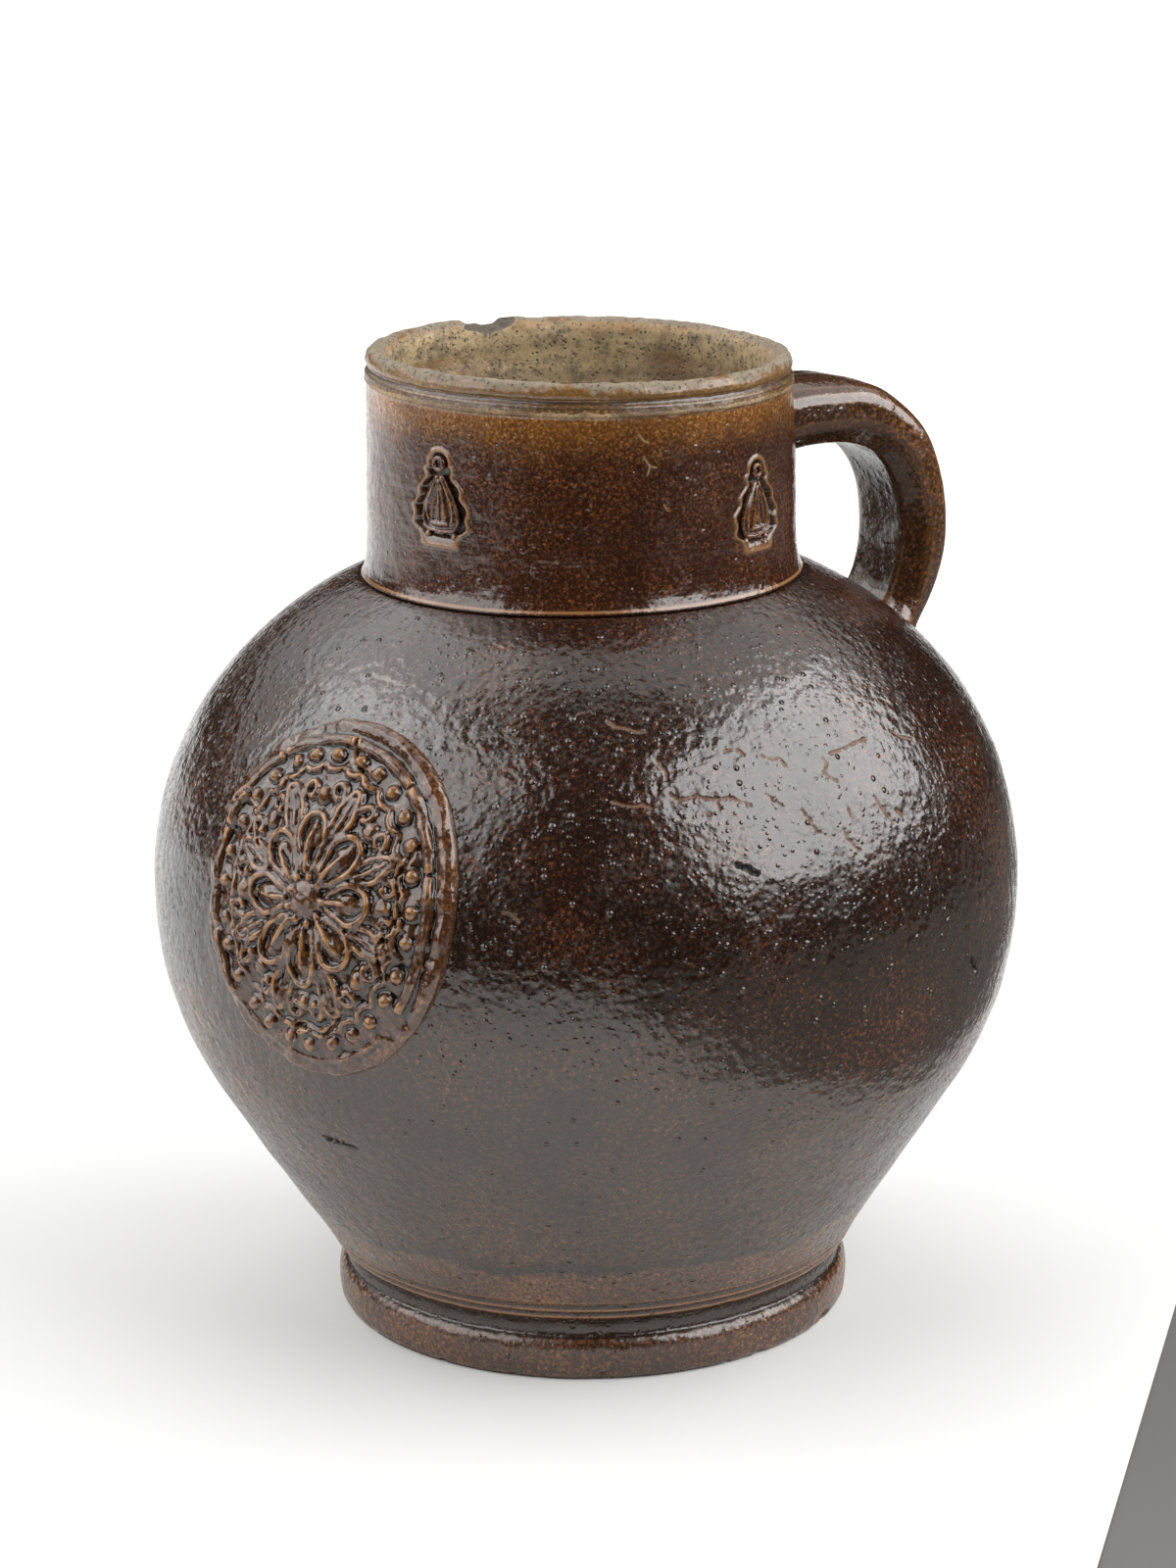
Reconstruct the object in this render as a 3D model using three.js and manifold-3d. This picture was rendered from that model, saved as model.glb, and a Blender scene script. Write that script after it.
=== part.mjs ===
// A salt-glazed stoneware jug: a thrown globular belly on a turned foot, a thrown neck with a lip,
// a pulled strap handle, and moulded clay reliefs pressed onto the wall. All lengths are millimetres.
// The origin is the centre of the flat underside, +Z is up, and the handle stands over +X.
import * as THREE from 'three';
import { mergeVertices } from 'three/addons/utils/BufferGeometryUtils.js';
import Module from 'manifold-3d';

const wasm = await Module();
wasm.setup();

// Clearance that the thin layer of slip fills wherever one piece of clay is stuck to another
const slipGap = 0.3;

// Distance under which two corners of a mesh count as one
const weldDistance = 1e-4;

// Foot, turned on the wheel: flat underside, rounded side, then a cove below two fine ridges
const baseRadius = 59.4;
const footRadius = 61.5;
const footBulgeHeight = 4.6;
const footEdgeRadius = 61.2;
const footEdgeHeight = 9.4;
const waistRadius = 60.3;
const waistHeight = 13.2;
const ridgeHeights = [16, 18.2];
const ridgeWidth = 1.3;
const ridgeProud = 0.45;

// Belly: one large arc in section, with a straight taper from the waist up to it
const bellyRadius = 102.3;
const bellyHeight = 103.5;
const bellyArcRadius = 80.5;
const taperStartRadius = 60.9;
const taperStartHeight = 15.2;
const bellyWall = 6.5;
const floorThickness = 9;
const floorRadius = 36;
const floorHump = 1.4;
const heelRadius = 53;
const heelHeight = 17;

// Neck, seated on the belly by a rebate: the spigot is the ring on the belly that it slips over
const neckHeight = 51.6;
const neckRadius = 49.8;
const neckWall = 5.2;
const neckFlareRadius = 51.5;
const neckFlareHeight = 6.5;
const neckFootBand = 1.3;
const neckFootBreak = 0.3;
const neckTopRadius = 49.1;
const seatShoulder = 0.6;
const spigotWall = 3.4;
const spigotHeight = 4.5;

// Cordon, groove and rolled lip, measured down from the top of the neck
const cordonDrop = 7.4;
const cordonProud = 0.45;
const cordonDepth = 2.4;
const grooveDepth = 1.2;
const grooveWidth = 1.6;
const lipRadius = 48.8;
const lipCrestRadius = 46.9;
const lipBevelDepth = 5.7;

// Old chip in the lip
const chipAngle = 91;
const chipLength = 13;
const chipDepth = 1.9;
const chipSpread = 9;

// Handle: centre line from the neck, out, over and down onto the shoulder
const handleWidth = 28;
const handleThicknessTop = 16;
const handleThicknessEnd = 12;
const handleTopDrop = 21.4;
const handleOut = 51;
const handleRise = 10.6;
const handleLandingAngle = 41.3;
const handleEndAngle = 56.6;
const handleEndStretch = 5.9;
const handleEndPull = 12.9;
const handleRootDepth = 3;
const strapOuterSquareness = 3.4;
const strapInnerSquareness = 2.5;
const handleSides = 24;
const handleRings = 24;
const lutingRings = 6;

// Clay smeared round both ends of the handle
const upperLutingLength = 8;
const upperLutingSpread = 2.2;
const lowerLutingLength = 8;
const lowerLutingSpread = 3;
const lutingEdge = 0.5;

// Oval medallion, measured along the wall: half its width and half its height
const medallionHalfWidth = 34.3;
const medallionHalfHeight = 40.2;
const medallionAngle = -156.9;
const medallionRise = 13.7;
const medallionTilt = 1.9;
const medallionEdge = 0.7;
const medallionField = 1.3;
const medallionRootDepth = 3;
const medallionBead = 2.9;
const medallionBeadInset = 4.9;
const medallionBeadWidth = 2.8;
const pearlInset = 9;
const pearlWidth = 2.6;
const pearlRelief = 1.2;
const pearls = 24;
const rosettePetals = 8;
const petalLength = 16.5;
const petalNotch = 9.5;
const petalRelief = 2;
const petalValley = 0.4;
const petalRings = 6;
const bossRadius = 4;
const bossRelief = 2.2;
const leafInset = 13;
const leafLength = 6;
const leafRelief = 1.3;

// Bud-shaped stamps: a ribbed bud below a small round finial, each seated in a pressed hollow
const stampAngles = { left: -159.6, right: -67.2, back: 108 };
const stampHeights = { left: 25.3, right: 28.9, back: 27 };
const stampHeight = 18.6;
const budFootHalfWidth = 4.4;
const budSwell = 2.9;
const budSwellPlace = 0.63;
const budHeight = 13.4;
const budTipHalfWidth = 1.15;
const finialRadius = 2.7;
const stampRelief = 1.1;
const stampRibs = 5;
const ribRelief = 0.4;
const budEdgeDrop = 0.6;
const budFootBar = 1.6;
const finialBlunt = 0.3;
const stampSink = 0.5;
const hollowDepth = 1.3;
const hollowMargin = 2.2;
const hollowScallop = 0.7;
const hollowWave = 4.8;
const stampRows = 10;
const stampColumns = 10;
const hollowColumns = 6;

// Fineness: flats round a full turn, and steps along each kind of curve
const turns = 56;
const bellyArcSteps = 13;
const innerArcSteps = 8;
const bendSteps = 3;

const rad = THREE.MathUtils.degToRad;
const point = (x, y) => new THREE.Vector2(x, y);

// Sizes that follow from the ones above
const arcCentreRadius = bellyRadius - bellyArcRadius;
const seatRadius = neckFlareRadius + seatShoulder;
const seatAngle = Math.acos((seatRadius - arcCentreRadius) / bellyArcRadius);
const seatHeight = bellyHeight + bellyArcRadius * Math.sin(seatAngle);
const neckFoot = seatHeight + slipGap;
const topHeight = neckFoot + neckHeight;
const boreRadius = neckRadius - neckWall;
const spigotRadius = boreRadius + spigotWall;

// Angle at which a straight line from a point below touches an arc about the belly's centre
function tangentAngle(from, radius) {
  const reach = point(from.x - arcCentreRadius, from.y - bellyHeight);
  return Math.atan2(reach.y, reach.x) + Math.acos(radius / reach.length());
}

function onArc(radius, angle) {
  return point(arcCentreRadius + radius * Math.cos(angle), bellyHeight + radius * Math.sin(angle));
}

function arc(radius, from, to, steps) {
  return Array.from({ length: steps + 1 }, (_, i) => onArc(radius, from + (to - from) * i / steps));
}

function bend(from, control, to, steps = bendSteps) {
  return new THREE.QuadraticBezierCurve(from, control, to).getPoints(steps);
}

// Outer side of the foot and belly, grown outward by a clearance where a neighbour is cut to it
function bellyOutline(grow = 0) {
  const taperStart = point(taperStartRadius + grow, taperStartHeight);
  const arcRadius = bellyArcRadius + grow;
  const touch = tangentAngle(taperStart, arcRadius);
  const taperEnd = onArc(arcRadius, touch);
  const slope = (taperEnd.x - taperStart.x) / (taperEnd.y - taperStart.y);
  const taperAt = (z, proud = 0) => point(taperStart.x + slope * (z - taperStart.y) + proud, z);
  const bulge = point(footRadius + grow, footBulgeHeight);
  const waist = point(waistRadius + grow, waistHeight);
  return [
    ...bend(point(baseRadius + grow, 0), point(bulge.x, footBulgeHeight / 3), bulge),
    ...bend(point(footEdgeRadius + grow, footEdgeHeight), point(waist.x, footEdgeHeight), waist),
    taperStart,
    ...ridgeHeights.flatMap((z) => [
      taperAt(z - ridgeWidth / 2), taperAt(z, ridgeProud), taperAt(z + ridgeWidth / 2),
    ]),
    ...arc(arcRadius, touch, seatAngle, bellyArcSteps),
  ];
}

// Outer side of the neck, from its foot to the crest of the lip
function neckOutline(grow = 0) {
  const flareEnd = point(neckRadius + grow, neckFoot + neckFlareHeight);
  const cordonHeight = topHeight - cordonDrop;
  const cordonTop = cordonHeight + cordonDepth;
  const cordonFoot = point(neckTopRadius + grow, cordonHeight);
  const lipSide = point(lipRadius + grow, topHeight - (lipRadius - lipCrestRadius));
  return [
    point(neckFlareRadius + grow, neckFoot + neckFootBreak),
    ...bend(point(neckFlareRadius + grow, neckFoot + neckFootBand),
      point(flareEnd.x, neckFoot + neckFlareHeight / 2), flareEnd),
    ...bend(flareEnd, point(flareEnd.x, (neckFoot + cordonHeight) / 2), cordonFoot).slice(1),
    point(cordonFoot.x + cordonProud, cordonHeight + cordonProud),
    point(cordonFoot.x, cordonTop),
    point(cordonFoot.x - grooveDepth, cordonTop + grooveWidth / 2),
    point(lipSide.x - cordonProud, cordonTop + grooveWidth),
    ...bend(lipSide, point(lipSide.x, topHeight + grow), point(lipCrestRadius, topHeight + grow)),
  ];
}

// A profile of (radius, height) points, spun about the upright axis
function turned(points) {
  return new THREE.LatheGeometry(points, turns).rotateX(Math.PI / 2);
}

// A closed mesh becomes a solid that can be joined or cut, and turns back into a mesh
function toSolid(geometry) {
  const bare = geometry.clone();
  bare.deleteAttribute('normal');
  bare.deleteAttribute('uv');
  const merged = mergeVertices(bare, weldDistance);
  const triVerts = new Uint32Array(merged.index.array);
  const vertProperties = new Float32Array(merged.attributes.position.array);
  return new wasm.Manifold(new wasm.Mesh({ numProp: 3, vertProperties, triVerts }));
}

function toGeometry(solid) {
  const mesh = solid.getMesh();
  const geometry = new THREE.BufferGeometry();
  geometry.setAttribute('position', new THREE.BufferAttribute(mesh.vertProperties, 3));
  geometry.setIndex(new THREE.BufferAttribute(mesh.triVerts, 1));
  geometry.computeVertexNormals();
  return geometry;
}

// A closed skin over rows of points, with each row closed on itself and both ends capped
function loft(rows) {
  const count = rows[0].length;
  const positions = rows.flat().flatMap((p) => [p.x, p.y, p.z]);
  const faces = [];
  for (let i = 0; i + 1 < rows.length; i++) {
    for (let j = 0; j < count; j++) {
      const a = i * count + j;
      const b = i * count + (j + 1) % count;
      faces.push(a, b, b + count, a, b + count, a + count);
    }
  }
  const ends = [rows[0], rows[rows.length - 1]];
  ends.forEach((row, end) => {
    const centre = row.reduce((sum, p) => sum.add(p), new THREE.Vector3()).divideScalar(count);
    const hub = positions.push(centre.x, centre.y, centre.z) / 3 - 1;
    const first = end === 0 ? 0 : (rows.length - 1) * count;
    for (let j = 0; j < count; j++) {
      const a = first + j;
      const b = first + (j + 1) % count;
      faces.push(...(end === 0 ? [b, a, hub] : [a, b, hub]));
    }
  });
  const geometry = new THREE.BufferGeometry();
  geometry.setAttribute('position', new THREE.Float32BufferAttribute(positions, 3));
  geometry.setIndex(faces);
  geometry.computeVertexNormals();
  return geometry;
}

// Belly: thrown thin at the shoulder and thicker at the heel, with a low hump in the floor
function bellyGeometry() {
  const innerRadius = bellyArcRadius - bellyWall;
  const throatAngle = Math.acos((boreRadius - arcCentreRadius) / innerRadius);
  const heel = point(heelRadius, heelHeight);
  const floorEdge = point(floorRadius, floorThickness);
  const humpTop = point(0, floorThickness + floorHump);
  return turned([
    point(0, 0),
    ...bellyOutline(),
    point(spigotRadius, seatHeight),
    point(spigotRadius, seatHeight + spigotHeight),
    point(boreRadius, seatHeight + spigotHeight),
    ...arc(innerRadius, throatAngle, tangentAngle(heel, innerRadius), innerArcSteps),
    ...bend(heel, point(heelRadius, floorThickness), floorEdge),
    ...bend(floorEdge, point(floorRadius / 2, humpTop.y), humpTop, 2).slice(1),
  ]);
}

// Outside of the whole pot as one lump, to cut what is stuck onto it
function potEnvelope(grow) {
  return toSolid(turned([
    point(0, 0), ...bellyOutline(grow), ...neckOutline(grow), point(0, topHeight + grow),
  ]));
}

// A relief on the neck is a stack of level rows: u runs round the wall, v up it, h out of it
function neckPoint(angle, height, u, v, h) {
  const turn = rad(angle) + u / neckRadius;
  const radius = neckRadius + h;
  return new THREE.Vector3(radius * Math.cos(turn), radius * Math.sin(turn), height + v);
}

// Half the width of a stamp at a height above its foot: the bud, its tip, then the finial
function stampHalfWidth(v) {
  const finialCentre = stampHeight - finialRadius;
  const finial = Math.sqrt(Math.max(0, finialRadius ** 2 - (v - finialCentre) ** 2));
  if (v > finialCentre) return finial;
  const share = Math.min(1, v / budHeight);
  const straight = THREE.MathUtils.lerp(budFootHalfWidth, budTipHalfWidth, share);
  return Math.max(finial, straight + budSwell * Math.sin(Math.PI * share ** budSwellPlace));
}

function reliefPad(angle, height, rows, columns, halfWidth, topAt, backAt) {
  const strips = rows.map((v) => {
    const half = halfWidth(v);
    const front = [];
    const back = [];
    for (let i = 0; i <= columns; i++) {
      const s = -1 + 2 * i / columns;
      front.push(neckPoint(angle, height, s * half, v, topAt(s, v)));
      back.push(neckPoint(angle, height, -s * half, v, backAt));
    }
    return front.concat(back);
  });
  return loft(strips);
}

// Heights of the rows of a stamp or of its hollow, from one level to another
function stampLevels(low, high) {
  return Array.from({ length: stampRows + 1 }, (_, i) => low + (high - low) * i / stampRows);
}

// Bud with ribs that run up from a plain bar at its foot and fade out at its tip
function stampGeometry(angle, height) {
  const rows = stampLevels(0, stampHeight - finialBlunt);
  const front = (s, v) => {
    const ribbed = v > budFootBar && v < budHeight;
    const rib = ribbed ? ribRelief * Math.cos(Math.PI * stampRibs * s) * (1 - v / budHeight) : 0;
    return stampRelief - stampSink - budEdgeDrop * s * s + rib;
  };
  const back = slipGap - hollowDepth;
  return reliefPad(angle, height, rows, stampColumns, stampHalfWidth, front, back);
}

// The hollow pressed into the neck round each stamp, with a wavy edge
function stampHollow(angle, height) {
  const rows = stampLevels(-hollowMargin, stampHeight + hollowMargin / 2);
  const half = (v) => {
    const level = THREE.MathUtils.clamp(v, 0, stampHeight - finialBlunt);
    const wave = hollowScallop * Math.sin(2 * Math.PI * v / hollowWave);
    return stampHalfWidth(level) + hollowMargin + wave;
  };
  const outside = () => stampRelief + hollowDepth;
  return toSolid(reliefPad(angle, height, rows, hollowColumns, half, outside, -hollowDepth));
}

// Neck: the rebate at its foot slips over the belly's spigot
function neckGeometry() {
  const rebateRadius = spigotRadius + slipGap;
  const rebateTop = neckFoot + spigotHeight;
  const bevelFoot = point(boreRadius, topHeight - lipBevelDepth);
  const crest = point(lipCrestRadius, topHeight);
  let neck = toSolid(turned([
    point(rebateRadius, neckFoot),
    point(neckFlareRadius - neckFootBreak, neckFoot),
    ...neckOutline(),
    ...bend(crest, point(boreRadius, topHeight), bevelFoot).slice(1),
    point(boreRadius, rebateTop),
    point(rebateRadius, rebateTop),
    point(rebateRadius, neckFoot),
  ]));
  for (const side of Object.keys(stampAngles)) {
    neck = neck.subtract(stampHollow(stampAngles[side], topHeight - stampHeights[side] - stampHeight / 2));
  }
  const chip = new THREE.IcosahedronGeometry(1, 1);
  chip.scale(chipSpread / 2, chipLength / 2, chipDepth);
  chip.translate(lipCrestRadius, 0, topHeight);
  chip.rotateZ(rad(chipAngle));
  return toGeometry(neck.subtract(toSolid(chip)));
}

// Centre line of the handle in the plane y = 0
function handlePath() {
  const start = new THREE.Vector3(neckRadius - handleRootDepth, 0, topHeight - handleTopDrop);
  const landing = onArc(bellyArcRadius, rad(handleLandingAngle));
  const along = point(Math.cos(rad(handleEndAngle)), Math.sin(rad(handleEndAngle)));
  const fromLanding = (length) => {
    const p = landing.clone().addScaledVector(along, length);
    return new THREE.Vector3(p.x, 0, p.y);
  };
  const path = new THREE.CurvePath();
  const out = start.clone().add(new THREE.Vector3(handleOut, 0, handleRise));
  const turnDown = fromLanding(handleEndStretch + handleEndPull);
  const straight = fromLanding(handleEndStretch);
  path.add(new THREE.CubicBezierCurve3(start, out, turnDown, straight));
  path.add(new THREE.LineCurve3(straight, fromLanding(-handleRootDepth)));
  return path;
}

// Strap section: crowned outside, drawn in at the inner corners as it was smoothed between the fingers
function strapRing(path, share, grow = 0) {
  const centre = path.getPointAt(share);
  const forward = path.getTangentAt(share);
  const outward = new THREE.Vector3(-forward.z, 0, forward.x);
  const across = new THREE.Vector3(0, 1, 0);
  const thickness = THREE.MathUtils.lerp(handleThicknessTop, handleThicknessEnd, share);
  const ring = [];
  for (let i = 0; i < handleSides; i++) {
    const turn = 2 * Math.PI * i / handleSides;
    const c = Math.cos(turn);
    const s = Math.sin(turn);
    const square = s > 0 ? strapOuterSquareness : strapInnerSquareness;
    const x = Math.sign(c) * Math.abs(c) ** (2 / square) * (handleWidth / 2 + grow);
    const y = Math.sign(s) * Math.abs(s) ** (2 / square) * (thickness / 2 + grow);
    ring.push(centre.clone().addScaledVector(across, x).addScaledVector(outward, y));
  }
  return ring;
}

function strap(path, from, to, rings, growAt) {
  const rows = [];
  for (let i = 0; i <= rings; i++) {
    const share = from + (to - from) * i / rings;
    rows.push(strapRing(path, share, growAt(share)));
  }
  return toSolid(loft(rows));
}

function handleGeometry() {
  const strapBody = strap(handlePath(), 0, 1, handleRings, () => 0);
  return toGeometry(strapBody.subtract(potEnvelope(slipGap)));
}

// Luting: a cove of clay round the strap, thick against the wall and thin where it ends
function lutingGeometry(atTop) {
  const path = handlePath();
  const length = path.getLength();
  const reach = (handleRootDepth + (atTop ? upperLutingLength : lowerLutingLength)) / length;
  const spread = atTop ? upperLutingSpread : lowerLutingSpread;
  const step = 1 / handleRings;
  const from = atTop ? 0 : 1 - reach;
  const to = atTop ? reach : 1;
  const cove = (share) => {
    const fromWall = (atTop ? share : 1 - share) / reach;
    return slipGap + lutingEdge + spread * (1 - fromWall) ** 2;
  };
  const lump = strap(path, from, to, lutingRings, cove);
  const hole = strap(path, 0, 1, handleRings, () => slipGap);
  return toGeometry(lump.subtract(hole).subtract(potEnvelope(slipGap)));
}

// A point on the belly: u round it, v up it from the medallion's middle, h out of the wall
function bellyPoint(u, v, h) {
  const rise = rad(medallionRise) + v / bellyArcRadius;
  const wall = onArc(bellyArcRadius, rise);
  const spot = onArc(bellyArcRadius + h, rise);
  const turn = rad(medallionAngle) + u / wall.x;
  return new THREE.Vector3(spot.x * Math.cos(turn), spot.x * Math.sin(turn), spot.y);
}

// A round-topped swelling: 1 in its middle, 0 beyond half its width
const swell = (offset, width) => Math.max(0, 1 - (2 * offset / width) ** 2);

// Relief of the medallion at a share of the way out and a turn round it: a bead inside its edge,
// a row of pearls, short leaves, and a rosette with a boss in the middle
function medallionHeight(share, turn) {
  const out = share * medallionHalfWidth;
  const inset = medallionHalfWidth - out;
  const lobe = Math.abs(Math.cos(rosettePetals * turn / 2));
  const between = 1 - lobe;
  const petalEnd = THREE.MathUtils.lerp(petalNotch, petalLength, lobe);
  const crest = THREE.MathUtils.lerp(petalValley, 1, lobe);
  const petal = crest * Math.sqrt(swell(out - petalEnd / 2, petalEnd));
  const shoulder = THREE.MathUtils.smoothstep(inset, 0, medallionBeadInset);
  return THREE.MathUtils.lerp(medallionEdge, medallionField, shoulder)
    + (medallionBead - medallionField) * swell(inset - medallionBeadInset, medallionBeadWidth)
    + pearlRelief * swell(inset - pearlInset, pearlWidth) * Math.max(0, Math.cos(pearls * turn))
    + leafRelief * swell(inset - leafInset - leafLength / 2, leafLength) * between
    + petalRelief * petal
    + bossRelief * swell(out, 2 * bossRadius);
}

function medallionGeometry() {
  const spokes = 2 * pearls;
  const halfBead = medallionBeadWidth / 2;
  const halfPearl = pearlWidth / 2;
  const insets = [
    0, medallionBeadInset - halfBead, medallionBeadInset, medallionBeadInset + halfBead,
    pearlInset - halfPearl, pearlInset, pearlInset + halfPearl,
    leafInset, leafInset + leafLength / 2, medallionHalfWidth - petalLength,
  ];
  const petalStep = petalLength / (petalRings + 1);
  const petalRadii = Array.from({ length: petalRings }, (_, i) => petalLength - (i + 1) * petalStep);
  const frontRings = [
    ...insets.map((inset) => 1 - inset / medallionHalfWidth),
    ...petalRadii.map((radius) => radius / medallionHalfWidth),
  ];
  const tilt = rad(medallionTilt);
  const ring = (share, heightAt) => {
    const row = [];
    for (let i = 0; i < spokes; i++) {
      const turn = 2 * Math.PI * i / spokes;
      const x = medallionHalfWidth * share * Math.cos(turn);
      const y = medallionHalfHeight * share * Math.sin(turn);
      const u = x * Math.cos(tilt) - y * Math.sin(tilt);
      const v = x * Math.sin(tilt) + y * Math.cos(tilt);
      row.push(bellyPoint(u, v, heightAt(share, turn)));
    }
    return row;
  };
  const buried = ring(frontRings[0], () => -medallionRootDepth);
  const front = frontRings.map((share) => ring(share, medallionHeight));
  return toGeometry(toSolid(loft([buried, ...front])).subtract(potEnvelope(slipGap)));
}

function material(color, roughness) {
  return new THREE.MeshStandardMaterial({ color, roughness, metalness: 0 });
}

const jug = new THREE.Group();

function addPiece(name, geometry, color, roughness) {
  const mesh = new THREE.Mesh(geometry, material(color, roughness));
  mesh.name = name;
  jug.add(mesh);
}

addPiece('belly', bellyGeometry(), 0x4a3730, 0.35);
addPiece('neck', neckGeometry(), 0x7d4f30, 0.4);
addPiece('handle', handleGeometry(), 0x5c3f30, 0.35);
addPiece('upper_luting', lutingGeometry(true), 0x664838, 0.4);
addPiece('lower_luting', lutingGeometry(false), 0x5d4638, 0.4);
addPiece('medallion', medallionGeometry(), 0x6e5748, 0.4);
for (const side of Object.keys(stampAngles)) {
  const height = topHeight - stampHeights[side] - stampHeight / 2;
  addPiece(`neck_stamp_${side}`, stampGeometry(stampAngles[side], height), 0x8a6248, 0.4);
}

export default jug;
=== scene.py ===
import math
import random

import bpy
import numpy
from mathutils import Matrix, Vector, noise
from mathutils.bvhtree import BVHTree
from mathutils.geometry import interpolate_bezier


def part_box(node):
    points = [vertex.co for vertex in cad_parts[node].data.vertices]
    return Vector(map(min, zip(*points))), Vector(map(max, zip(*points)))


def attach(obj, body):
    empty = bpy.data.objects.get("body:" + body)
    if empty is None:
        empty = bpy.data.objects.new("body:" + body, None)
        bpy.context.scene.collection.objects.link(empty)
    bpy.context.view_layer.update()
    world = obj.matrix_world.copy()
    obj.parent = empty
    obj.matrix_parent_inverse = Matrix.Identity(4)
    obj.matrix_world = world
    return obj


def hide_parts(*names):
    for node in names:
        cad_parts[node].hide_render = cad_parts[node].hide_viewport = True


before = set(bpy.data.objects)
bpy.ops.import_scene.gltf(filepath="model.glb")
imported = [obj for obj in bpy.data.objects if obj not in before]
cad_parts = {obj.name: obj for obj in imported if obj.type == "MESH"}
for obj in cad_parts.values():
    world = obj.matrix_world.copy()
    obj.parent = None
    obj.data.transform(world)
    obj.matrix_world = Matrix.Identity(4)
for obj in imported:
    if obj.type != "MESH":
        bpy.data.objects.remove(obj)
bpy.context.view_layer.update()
bpy.ops.object.select_all(action="DESELECT")

# Belly and foot. One pot of grey stoneware clay, thrown on the wheel and turned at the foot to a
# rounded band, a shallow cove and three fine ridges. It was washed with iron slip and fired with salt,
# so it has a dark, pitted, orange-peel skin that is thin and tan on every edge.
mm = 0.001
spigot_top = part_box("belly")[1].z
seat_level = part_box("neck")[0].z
joint_gap = 0.3 * mm
belly_radius = 102.3 * mm
belly_level = 103.5 * mm
belly_arc = 80.5 * mm
wall_thickness = 6.5 * mm
throat_radius = 44.6 * mm
inner_arc_end = -0.59
spigot_radius = 48 * mm
neck_ring_radius = 52.1 * mm
hub_radius = 20 * mm
underside = 0.2 * mm


def stretch(start, control, end, spacing):
    """Points of one bend of an outline, from start towards end, a spacing apart."""
    start, control, end = Vector(start), Vector(control), Vector(end)
    length = (control - start).length + (end - control).length
    count = max(2, round(length / spacing))
    shares = [i / count for i in range(count)]
    return [start * (1 - t) ** 2 + control * 2 * t * (1 - t) + end * t * t for t in shares]


def round_stretch(centre, radius, first, last, spacing):
    """Points of an arc of an outline, from one angle to another, a spacing apart."""
    count = max(2, round(abs(last - first) * radius / spacing))
    angles = [first + (last - first) * i / count for i in range(count)]
    return [Vector(centre) + radius * Vector((math.cos(a), math.sin(a))) for a in angles]


def straight(start, end, spacing):
    """Points of a straight stretch of an outline, a spacing apart."""
    middle = (Vector(start) + Vector(end)) / 2
    return stretch(start, middle, end, spacing)


def at(radius, level):
    """A point of an outline, with its radius and its level in mm."""
    return Vector((radius * mm, level * mm))


def profile(start, *bends):
    """Points of an outline from a start on. Each bend has a control point, or None where it is straight,
    then its end and the spacing of its points in mm."""
    points = []
    for control, end, spacing in bends:
        if control is None:
            points += straight(start, end, spacing * mm)
        else:
            points += stretch(start, control, end, spacing * mm)
        start = end
    return points


def select_only(piece):
    bpy.ops.object.select_all(action="DESELECT")
    piece.select_set(True)
    bpy.context.view_layer.objects.active = piece


def apply_modifier(piece, kind, **settings):
    """Finishes a piece with one modifier."""
    select_only(piece)
    modifier = piece.modifiers.new(kind.lower(), kind)
    for key, value in settings.items():
        setattr(modifier, key, value)
    bpy.ops.object.modifier_apply(modifier=modifier.name)


def close_skin(merge_distance=0):
    """Turns the faces of the piece in hand outwards and shades it smooth, with its doubled points merged."""
    bpy.ops.object.mode_set(mode="EDIT")
    bpy.ops.mesh.select_all(action="SELECT")
    if merge_distance:
        bpy.ops.mesh.remove_doubles(threshold=merge_distance)
    bpy.ops.mesh.normals_make_consistent(inside=False)
    bpy.ops.object.mode_set(mode="OBJECT")
    bpy.ops.object.shade_smooth()


def throw(name, outline, steps):
    """A pot's wall: its outline is drawn point by point, then swept round the wheel's axis."""
    first = outline[0]
    bpy.ops.object.select_all(action="DESELECT")
    bpy.ops.mesh.primitive_plane_add(size=mm, location=(first[0], 0, first[1]))
    pot = bpy.context.object
    pot.name = pot.data.name = name
    bpy.ops.object.mode_set(mode="EDIT")
    bpy.ops.mesh.merge(type="CENTER")
    for here, there in zip(outline, outline[1:]):
        step = there - here
        bpy.ops.mesh.extrude_region_move(TRANSFORM_OT_translate={"value": (step[0], 0, step[1])})
    bpy.ops.object.mode_set(mode="OBJECT")
    bpy.ops.object.transform_apply()
    apply_modifier(pot, "SCREW", steps=steps, render_steps=steps)
    close_skin(0.004 * mm)
    return pot


def refine(piece, kind, wanted, cuts):
    """Cuts the wanted faces or edges of a piece finer."""
    select_only(piece)
    bpy.ops.object.mode_set(mode="EDIT")
    bpy.ops.mesh.select_mode(type=kind)
    bpy.ops.mesh.select_all(action="DESELECT")
    bpy.ops.object.mode_set(mode="OBJECT")
    for item in piece.data.polygons if kind == "FACE" else piece.data.edges:
        item.select = wanted(item)
    bpy.ops.object.mode_set(mode="EDIT")
    bpy.ops.mesh.subdivide(number_cuts=cuts)
    bpy.ops.mesh.select_all(action="DESELECT")
    bpy.ops.mesh.select_mode(type="VERT")
    bpy.ops.object.mode_set(mode="OBJECT")


def reshape(piece, place_of):
    """Moves each point of a piece to where a rule puts it."""
    for vertex in piece.data.vertices:
        vertex.co = place_of(vertex.co)
    piece.data.update()


def wander(place, size, strength, squeeze=1):
    """How far clay wanders at a place, by bumps of a size that a squeeze draws out round the wheel."""
    x, y, z = place
    return strength * noise.noise(Vector((x / squeeze, y / squeeze, z)) / size + Vector((3.1, 7.7, 1.3)))


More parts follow.
